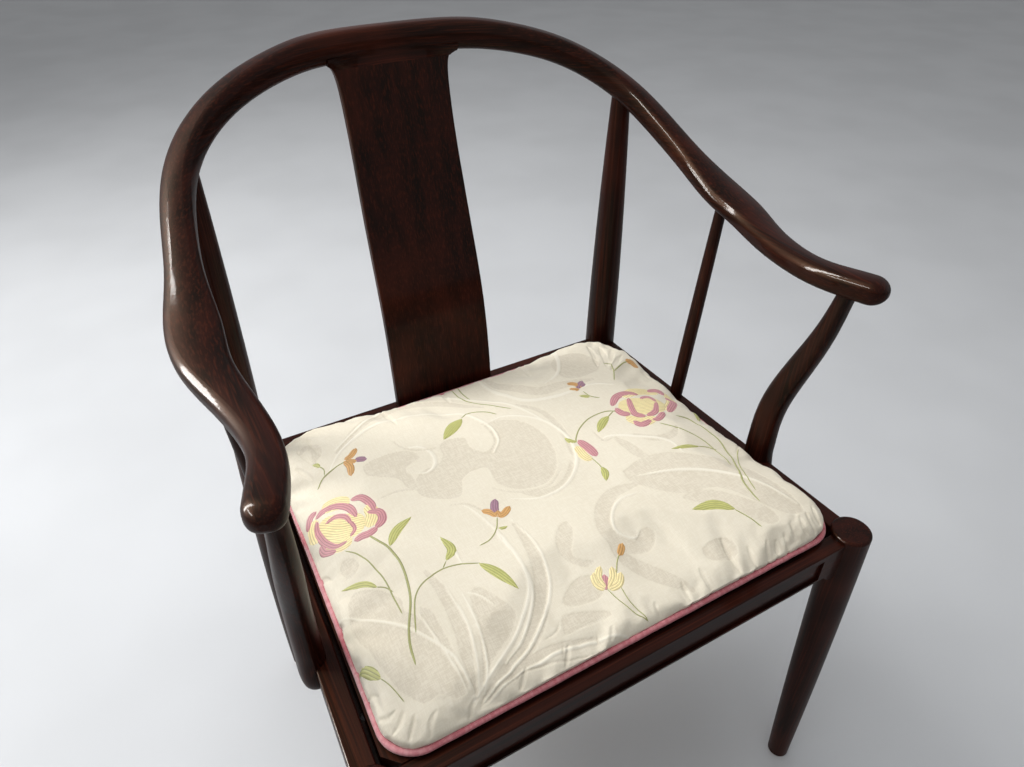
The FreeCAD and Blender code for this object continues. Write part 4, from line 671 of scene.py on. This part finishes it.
def meet_outline(points, cushion):
    """Draw the seam out to the tuck all round, and give how far in each point then lies."""
    rim = outline(0.0)[0]
    inward, along = nearest(points[:, :2], rim)
    spots = np.round(along * SEAM_SPOTS).astype(int)
    least = np.array([inward[spots == spot].min() for spot in range(SEAM_SPOTS + 1)])
    least = np.interp(along, np.linspace(0.0, 1.0, SEAM_SPOTS + 1), least)
    out = rim[np.round(along * PIPING_STEPS).astype(int)] - points[:, :2]
    shift = np.maximum(least - cushion.tuck, 0.0) * np.exp((least - inward) / cushion.edge)
    points[:, :2] += out * (shift / np.maximum(inward, 1e-9))[:, None]
    return inward - shift


def reach_piping(piece):
    """Spread the cushion until its seam lies in the piping, ripple it and fill its edge."""
    low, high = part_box("cushion_piping")
    cushion = settings("cushion")
    points = coordinates(piece.data)
    for axis in (0, 1):
        least, most = points[:, axis].min(), points[:, axis].max()
        first, last = low[axis] + cushion.tuck, high[axis] - cushion.tuck
        points[:, axis] = first + (points[:, axis] - least) * (last - first) / (most - least)
    inward = meet_outline(points, cushion)
    ripple = sum(np.sin(points[:, 0] * x + points[:, 1] * y + turn) for x, y, turn in WAVES)
    above = np.clip((points[:, 2] - SEAM_Z) / (high.z - low.z) / 2, 0.0, 1.0)
    points[:, 2] += ripple * above * WAVE_HEIGHT
    swell = cushion.full * np.exp(-inward / cushion.edge)
    points[:, 2] += np.maximum(points[:, 2] - SEAM_Z, 0.0) * swell
    place_points(piece.data, points)


def finer(piece):
    """Subdivide the cushion all over once, and its upper side once more."""
    piece.modifiers.new("fine", "SUBSURF").levels = 1
    applied(piece)
    form = bmesh.new()
    form.from_mesh(piece.data)
    form.normal_update()
    upper = {edge for face in form.faces for edge in face.edges
             if face.normal.z > UPWARD and face.calc_center_median().z > SEAM_Z}
    bmesh.ops.subdivide_edges(form, edges=list(upper), cuts=1, smooth=1.0, use_grid_fill=True)
    form.to_mesh(piece.data)
    form.free()


def nearest(points, line):
    """Each point's distance to a line of points, and how far along it the nearest one is."""
    gaps, places = [], []
    for some in np.array_split(points, 1 + len(points) * len(line) // PAIRS_AT_ONCE):
        away = ((some[:, None] - line[None]) ** 2).sum(axis=2)
        places.append(away.argmin(axis=1))
        gaps.append(np.sqrt(away[np.arange(len(some)), places[-1]]))
    return np.concatenate(gaps), np.concatenate(places) / (len(line) - 1)


def near_path(points, path, reach):
    """Which points lie in the box round a path, widened by a reach."""
    low, high = path.min(axis=0) - reach, path.max(axis=0) + reach
    return np.nonzero(np.all((points > low) & (points < high), axis=1))[0]


def softly(cover):
    """A share that rises from 0 to 1 with soft ends."""
    cover = np.clip(cover, 0.0, 1.0)
    return cover * cover * (3 - 2 * cover)


def under(points, stroke):
    """How fully a stroke that narrows to both ends covers each point, where it covers any."""
    width, *line = stroke
    path = smooth_line(line, MM)[0]
    reach = width * MM
    close = near_path(points, path, reach)
    gap, along = nearest(points[close], path)
    half = reach / 2 * np.sin(np.pi * np.clip(along, BLUNT_END, 1 - BLUNT_END)) ** TAPER
    return close, softly((half - gap) / (BAND_EDGE + reach * SOFT_SHARE) + 0.5)


def within(points, area):
    """How fully a closed area covers each point, where it covers any."""
    path = smooth_line(area + area[:2], MM)[0]
    close = near_path(points, path, 0.0)
    gap = nearest(points[close], path)[0]
    x, y = points[close].T
    held = np.zeros(len(close), bool)
    for (x_start, y_start), (x_end, y_end) in zip(path, path[1:]):
        crossed = (y_start > y) != (y_end > y)
        rise = np.where(crossed, y_end - y_start, 1.0)
        held ^= crossed & (x < x_start + (x_end - x_start) * (y - y_start) / rise)
    return close, softly(gap / BAND_EDGE) * held


def weave_scrolls(piece):
    """Weave the scrolls: their tone as an attribute, their relief and the gathers as height."""
    points = coordinates(piece.data)
    top = np.nonzero(points[:, 2] > SEAM_Z)[0]
    plan = points[top, :2]
    tone = np.full(len(top), 0.5)
    height = np.zeros(len(top))
    for cut, shapes, hue, lift in WEAVES:
        for shape in shapes:
            close, cover = cut(plan, shape)
            tone[close] += (hue - tone[close]) * cover
            height[close] += (lift * settings("cushion").relief - height[close]) * cover
    for stroke in GATHERS:
        close, cover = under(plan, stroke)
        height[close] -= settings("cushion").fold * cover
    points[top] += coordinates(piece.data, "normal")[top] * height[:, None]
    place_points(piece.data, points)
    tones = np.full(len(points), 0.5)
    tones[top] = tone
    piece.data.attributes.new("scroll_tone", "FLOAT", "POINT").data.foreach_set("value", tones)


# How each kind of shape is woven: its function, its shapes, its tone and its height.

WEAVES = (
    (within, SCROLL_FIELDS, 1.0, -0.6),
    (under, SCROLLS, 1.0, -0.6),
    (under, SCROLL_LINES, 0.0, 1.0),
    # The sunk grooves take the darker shade tone: painted shade.
    (under, SHADED_SCROLL_GROOVES, 1.0, -1.0),
)


class ARMCHAIR_OT_cushion(Operator):
    """Stuff the loose cushion and weave its cover"""
    bl_idname = "armchair.cushion"
    bl_label = "Cushion"

    def execute(self, context):
        piece = cushion_start()
        stuff(piece)
        reach_piping(piece)
        finer(piece)
        weave_scrolls(piece)
        finish(piece, new_material("ivory_brocade", brocade))
        piece.data.shade_smooth()
        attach(piece, "cushion")
        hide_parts("cushion_cover", "cushion_core")
        return {"FINISHED"}


# The piping.

PIPING_RADIUS = 3.0 * MM
PIPING_SIDES = 12
WOBBLE = 0.05
WOBBLE_TURNS = (151, 67)

# Grains of the cloth and the seam's width, in metres.

RIB = (0.0034, 0.012, 1.0)
NAP = (0.0009, 0.0016, 1.0)
SEAM_EDGES = (0.0011, 0.0006)


def piping_cloth(tree):
    """Cotton bias strip sewn round a cord: matt pink, ribbed where it is drawn round the
    cord, with the crimson stitching of its seam on the side towards the cushion."""
    cushion = settings("cushion")
    place = add(tree, "TexCoord")["UV"]
    parts = add(tree, "SeparateXYZ", {0: place})
    ribs = threads(tree, place, RIB, 1.0)
    naps = threads(tree, place, NAP)
    # Painted highlight: the raised ribs take the paler, lit pink. The nap after it is the cloth's
    # own paler threads.
    tone = dyed(tree, cushion.piping, ribs, 0.3, 0.75, 0.5, cushion.piping_nap_and_highlight)
    tone = dyed(tree, tone, naps, 0.55, 0.75, 0.3, cushion.piping_nap_and_highlight)
    inner = add(tree, "Math", {0: parts["Y"], 1: PIPING_RADIUS * 2.5}, operation="SUBTRACT")[0]
    away = add(tree, "Math", {0: inner}, operation="ABSOLUTE")[0]
    tone = dyed(tree, tone, away, *SEAM_EDGES, 0.85, cushion.seam)
    height = add(tree, "Math", {0: ribs, 1: 2.0, 2: naps}, operation="MULTIPLY_ADD")[0]
    bump = add(tree, "Bump", {"Height": height, "Strength": 0.3, "Distance": 0.0004})[0]
    return {"Base Color": tone, "Normal": bump, "Roughness": 0.85, "Sheen Weight": 0.2}


class ARMCHAIR_OT_piping(Operator):
    """Sew the piping round the cushion"""
    bl_idname = "armchair.piping"
    bl_label = "Piping"

    def execute(self, context):
        path, total = outline(PIPING_RADIUS)
        out = -sideways(np.vstack((path[-2:-1], path, path[1:2])))[1:-1]

        def place(step, across):
            angle = across * 4 * QUARTER
            run = total * step / PIPING_STEPS
            wobble = math.prod(math.sin(run * turns) for turns in WOBBLE_TURNS)
            reach = PIPING_RADIUS * (1 + WOBBLE * wobble)
            x, y = path[step] + out[step] * math.cos(angle) * reach
            return (x, y, SEAM_Z + math.sin(angle) * reach), (run, angle * PIPING_RADIUS)

        form = bmesh.new()
        strip(form, PIPING_STEPS, PIPING_SIDES, place)
        bmesh.ops.remove_doubles(form, verts=form.verts, dist=0.02 * MM)
        bmesh.ops.recalc_face_normals(form, faces=form.faces)
        piece = piece_from("piping", form, [new_material("pink_cotton_piping", piping_cloth)])
        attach(piece, "cushion")
        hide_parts("cushion_piping")
        return {"FINISHED"}


# The embroidery.

THREADS = ("pink", "yellow", "leaf", "stem", "orange", "violet")
SHAPES = {
    "stem": lambda along: (1 - abs(2 * along - 1) ** 14) ** 0.5,
    "leaf": lambda along: math.sin(math.pi * along ** 0.85) ** 0.8,
    "petal": lambda along: (1 - abs(2 * along - 1) ** 3) ** 0.5,
}
STROKE_ROWS = 6
STROKE_STEP = 2 * MM
RIM = 0.12 * MM
ROUNDING = 4
LAYERS = 3
LAYER_SHARE = 0.1
DROP_Z = 1.0
STITCH = (0.0007, 0.004, 1.0)
PATCH = (0.008, 0.004, 1.0)


def silk(tree, name):
    """Rayon embroidery thread in satin stitch: rows of parallel stitches with a soft shine,
    a darker line between the rows that is painted shade in their groove."""
    work = settings("embroidery")
    hue = getattr(work, name)
    deep, pale = lit(hue, 0.55), lit(hue, 1.25)
    place = add(tree, "TexCoord")["UV"]
    parts = add(tree, "SeparateXYZ", {0: place})
    turns = {0: parts["Y"], 1: 4 * QUARTER / work.stitch}
    turn = add(tree, "Math", turns, operation="MULTIPLY")[0]
    rows = add(tree, "Math", {0: turn}, operation="COSINE")[0]
    stitches = threads(tree, place, STITCH)
    patches = threads(tree, place, PATCH)
    tone = dyed(tree, hue[:], patches, 0.45, 0.75, 0.5, pale)
    tone = dyed(tree, tone, stitches, 0.5, 0.7, 0.35, pale)
    # Painted shade: the colour darkens towards the hollow between the stitch rows.
    tone = dyed(tree, tone, rows, -0.4, -0.95, 0.8, deep)
    height = add(tree, "Math", {0: rows, 1: 0.5, 2: stitches}, operation="MULTIPLY_ADD")[0]
    bump = add(tree, "Bump", {"Height": height, "Strength": 0.6, "Distance": 0.0004})[0]
    return {"Base Color": tone, "Normal": bump, "Roughness": 0.6, "Specular IOR Level": 0.15,
            "Sheen Weight": 0.15}


def stitch(form, surface, stroke, shape, thread, lift):
    """Lay one embroidered stroke on the cushion's surface."""
    width, *line = stroke
    path, total = smooth_line(line, STROKE_STEP)
    left = sideways(path)
    last = len(path) - 1

    def place(step, across):
        side = 2 * across - 1
        half = width * MM / 2 * SHAPES[shape](step / last)
        x, y = path[step] + left[step] * half * side
        hit, normal = surface.ray_cast(Vector((x, y, DROP_Z)), Vector((0, 0, -1)))[:2]
        if hit is None:
            hit, normal = surface.find_nearest(Vector((x, y, SEAM_Z)))[:2]
        fall = abs(side) ** ROUNDING
        rise = lift * (1 - fall) - RIM * fall
        return hit + normal * rise, (total * step / last, half * side)

    strip(form, last, STROKE_ROWS, place, THREADS.index(thread))


EMBROIDERY = (
    ("embroidered_stems", ((STEMS, "stem", "stem", 0.7),)),
    ("embroidered_leaves", ((LEAVES, "leaf", "leaf", 1.0),)),
    ("embroidered_buds", tuple((strokes, "petal", name, 1.0) for name, strokes in BUDS.items())),
    ("embroidered_roses", ((ROSE_YELLOW, "petal", "yellow", 0.8),
                           (ROSE_PINK, "petal", "pink", 1.3))),
)


class ARMCHAIR_OT_embroidery(Operator):
    """Embroider the flowers on the cushion's cover"""
    bl_idname = "armchair.embroidery"
    bl_label = "Embroidery"

    def execute(self, context):
        cushion = bpy.data.objects["cushion"].data
        cushion.calc_loop_triangles()
        surface = BVHTree.FromPolygons([vertex.co for vertex in cushion.vertices],
                                       [face.vertices for face in cushion.loop_triangles])
        lift = settings("embroidery").lift
        skins = [new_material("rayon_embroidery_" + name, silk, name) for name in THREADS]
        for name, groups in EMBROIDERY:
            form = bmesh.new()
            for strokes, shape, thread, least in groups:
                for order, stroke in enumerate(strokes):
                    rise = lift * (least + order % LAYERS * LAYER_SHARE)
                    stitch(form, surface, stroke, shape, thread, rise)
            bmesh.ops.remove_doubles(form, verts=form.verts, dist=0.01 * MM)
            piece = piece_from(name, form, skins)
            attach(piece, "cushion")
        return {"FINISHED"}


# The straps.

STRAP_ROWS = 10
STRAP_STEP = 8 * MM
STRIPE_PLACE = 0.36
STRIPE_EDGES = (0.0022, 0.0016)

# The straps along x and those along y, and how many of each.

STRAPS = ("webbing_crosswise", "webbing_lengthwise")
STRAP_COUNTS = (4, 5)


def jute_webbing(tree):
    """Jute webbing, woven in a plain weave: coarse matt threads, with a coloured stripe near
    each edge."""
    straps = settings("straps")
    thin = straps.thread
    place = add(tree, "TexCoord")["UV"]
    parts = add(tree, "SeparateXYZ", {0: place})
    warp = threads(tree, place, (thin * 9, thin, 1.0))
    weft = threads(tree, place, (thin, thin * 3, 1.0))
    cloth = add(tree, "Math", {0: warp, 1: weft}, operation="ADD")[0]
    tone = dyed(tree, straps.jute, cloth, 1.05, 0.8, 0.8, straps.shadow)
    middle = add(tree, "Math", {0: parts["Y"]}, operation="ABSOLUTE")[0]
    place_out = {0: middle, 1: straps.width * STRIPE_PLACE}
    offset = add(tree, "Math", place_out, operation="SUBTRACT")[0]
    stripe = add(tree, "Math", {0: offset}, operation="ABSOLUTE")[0]
    tone = dyed(tree, tone, stripe, *STRIPE_EDGES, 0.8, straps.stripe)
    bump = add(tree, "Bump", {"Height": cloth, "Strength": 0.7, "Distance": 0.0008})[0]
    return {"Base Color": tone, "Normal": bump, "Roughness": 0.9}


def strap(form, start, end, across, crossings, phase):
    """One strap from start to end along an axis, over and under the straps it crosses."""
    straps = settings("straps")
    axis = 1 - across[0]
    steps = int((end - start) / STRAP_STEP)
    level = (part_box("webbing_crosswise")[0].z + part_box("webbing_lengthwise")[1].z) / 2

    def place(step, share_across):
        along = start + (end - start) * step / steps
        side = (share_across - 0.5) * straps.width
        turn = np.interp(along, crossings, np.arange(len(crossings)))
        wave = math.cos(math.pi * (turn + phase))
        point = [0.0, 0.0, level + (wave - 1) * straps.thickness / 2]
        point[axis] = along
        point[across[0]] = across[1] + side
        return point, (along, side)

    strip(form, steps, STRAP_ROWS, place)


def strap_middles(axis):
    """The middles of the straps along an axis, from their first and last edges."""
    low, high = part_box(STRAPS[axis])
    half = settings("straps").width / 2
    return np.linspace(low[1 - axis] + half, high[1 - axis] - half, STRAP_COUNTS[axis])


def weave_straps(axis):
    """Replace a CAD row of straps by a woven one, its straps spread evenly between the row's first
    and last edges.
    """
    name = STRAPS[axis]
    low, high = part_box(name)
    crossings = strap_middles(1 - axis)
    form = bmesh.new()
    for index, middle in enumerate(strap_middles(axis)):
        strap(form, low[axis], high[axis], (1 - axis, middle), crossings, index + axis)
    bmesh.ops.solidify(form, geom=form.faces[:], thickness=-settings("straps").thickness)
    bmesh.ops.recalc_face_normals(form, faces=form.faces)
    jute = new_material("woven_jute_webbing", jute_webbing)
    piece = piece_from("woven_" + name, form, [jute])
    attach(piece, "chair")
    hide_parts(name)


class ARMCHAIR_OT_straps(Operator):
    """Weave the straps that carry the cushion"""
    bl_idname = "armchair.straps"
    bl_label = "Straps"

    def execute(self, context):
        for axis in (0, 1):
            weave_straps(axis)
        return {"FINISHED"}


# The floor, the lamps and the camera.

CAMERA_PLACE = (-0.293, -0.51925, 0.989)
CAMERA_TURN = (29.71, 37.28, 0.28)    # yaw, pitch down and roll, in degrees
CAMERA_LENS = 26.21

# Each lamp's name, place, size and tint, and whether it shows in the lacquer only.

LAMPS = (
    ("window", (-1.65, 0.75, 1.75), (0.32, 2.4), (1.0, 0.98, 0.95), True),
    ("pane", (-1.6, -0.15, 1.55), (1.0, 0.18), (1.0, 0.98, 0.95), True),
    ("daylight", (-1.1, 1.3, 1.95), (0.8, 1.5), (1.0, 0.99, 0.97), False),
    ("ceiling", (-0.5, 0.3, 2.7), (2.4, 2.4), (0.98, 0.99, 1.0), False),
)
LAMP_TARGET = (0.0, 0.0, 0.45)
FLOOR_SIZE = 20.0


def camera_matrix():
    yaw, pitch, roll = map(math.radians, CAMERA_TURN)
    flat = math.cos(pitch)
    ahead = Vector((math.sin(yaw) * flat, math.cos(yaw) * flat, -math.sin(pitch)))
    level = Vector((math.cos(yaw), -math.sin(yaw), 0.0))
    up = level.cross(ahead)
    right = level * math.cos(roll) + up * math.sin(roll)
    up = up * math.cos(roll) - level * math.sin(roll)
    turn = Matrix((right, up, -ahead)).transposed().to_4x4()
    return Matrix.Translation(CAMERA_PLACE) @ turn


def set_camera():
    data = bpy.data.cameras.new("camera")
    data.lens = CAMERA_LENS
    data.sensor_width = 36.0
    data.clip_start = 0.01
    camera = new_piece("camera", data)
    camera.matrix_world = camera_matrix()
    bpy.context.scene.camera = camera


def plain_floor(tree):
    """Matt floor paint, rolled on: pale, with only a faint mottle."""
    floor = settings("stage").floor
    place = add(tree, "TexCoord")["Object"]
    mottle = add(tree, "TexNoise", {"Vector": place, "Scale": 3.0})["Fac"]
    tone = dyed(tree, floor, mottle, 0.3, 0.7, 1.0, lit(floor, 0.94))
    return {"Base Color": tone, "Roughness": 0.85, "Specular IOR Level": 0.2}


def set_lamp(name, place, size, tint, mirrored):
    """A soft lamp that either shows as a streak in the lacquer or lights the surfaces."""
    data = bpy.data.lights.new(name, "AREA")
    data.shape = "RECTANGLE"
    data.size, data.size_y = size
    data.energy = getattr(settings("stage"), name)
    data.color = tint
    lamp = new_piece(name, data)
    lamp.location = place
    lamp.visible_glossy = mirrored
    lamp.visible_diffuse = not mirrored
    ahead = Vector(LAMP_TARGET) - Vector(place)
    lamp.rotation_euler = ahead.to_track_quat("-Z", "Y").to_euler()


def set_world():
    """Even light from all round. The camera, gloss and glass see the floor's colour."""
    stage = settings("stage")
    world = bpy.data.worlds.new("surroundings")
    bpy.context.scene.world = world
    world.use_nodes = True
    tree = world.node_tree
    tree.nodes.clear()
    light = add(tree, "Background", {"Color": (1.0, 1.0, 1.0, 1.0), "Strength": stage.sky})[0]
    shown = add(tree, "Background", {"Color": stage.floor, "Strength": 1.0})[0]
    path = add(tree, "LightPath")
    seen = path["Is Camera Ray"]
    for kind in ("Is Glossy Ray", "Is Transmission Ray"):
        seen = add(tree, "Math", {0: seen, 1: path[kind]}, operation="MAXIMUM")[0]
    mixed = add(tree, "MixShader", {0: seen, 1: light, 2: shown})[0]
    add(tree, "OutputWorld", {"Surface": mixed})


class ARMCHAIR_OT_stage(Operator):
    """Lay the floor and set the lamps and the camera"""
    bl_idname = "armchair.stage"
    bl_label = "Stage"

    def execute(self, context):
        form = bmesh.new()
        bmesh.ops.create_grid(form, x_segments=1, y_segments=1, size=FLOOR_SIZE)
        piece_from("floor", form, [new_material("matt_floor_paint", plain_floor)])
        for lamp in LAMPS:
            set_lamp(*lamp)
        set_world()
        set_camera()
        context.scene.view_settings.view_transform = "Standard"
        return {"FINISHED"}


# Registration and the run.


class ARMCHAIR_PT_parts(bpy.types.Panel):
    """Lists the parts of the armchair"""
    bl_idname = "ARMCHAIR_PT_parts"
    bl_label = "Armchair"
    bl_space_type = "VIEW_3D"
    bl_region_type = "UI"
    bl_category = "Armchair"

    def draw(self, context):
        for operator in OPERATORS:
            self.layout.operator(operator.bl_idname)
        for part, group in GROUPS:
            box = self.layout.box()
            box.label(text=group.__doc__)
            for name in group.__annotations__:
                box.prop(settings(part), name)


GROUPS = (("wood", WoodSettings), ("cushion", CushionSettings), ("embroidery", EmbroiderySettings),
          ("straps", StrapSettings), ("stage", StageSettings))
OPERATORS = (ARMCHAIR_OT_stage, ARMCHAIR_OT_frame, ARMCHAIR_OT_hardware, ARMCHAIR_OT_straps,
             ARMCHAIR_OT_cushion, ARMCHAIR_OT_piping, ARMCHAIR_OT_embroidery)


def register():
    for part, group in GROUPS:
        bpy.utils.register_class(group)
        setattr(bpy.types.Scene, "armchair_" + part, PointerProperty(type=group))
    for operator in OPERATORS:
        bpy.utils.register_class(operator)
    bpy.utils.register_class(ARMCHAIR_PT_parts)


def unregister():
    bpy.utils.unregister_class(ARMCHAIR_PT_parts)
    for operator in reversed(OPERATORS):
        bpy.utils.unregister_class(operator)
    for part, group in reversed(GROUPS):
        delattr(bpy.types.Scene, "armchair_" + part)
        bpy.utils.unregister_class(group)


def main():
    register()
    for operator in OPERATORS:
        getattr(bpy.ops.armchair, operator.bl_idname.split(".")[1])()


if __name__ == "__main__":
    main()
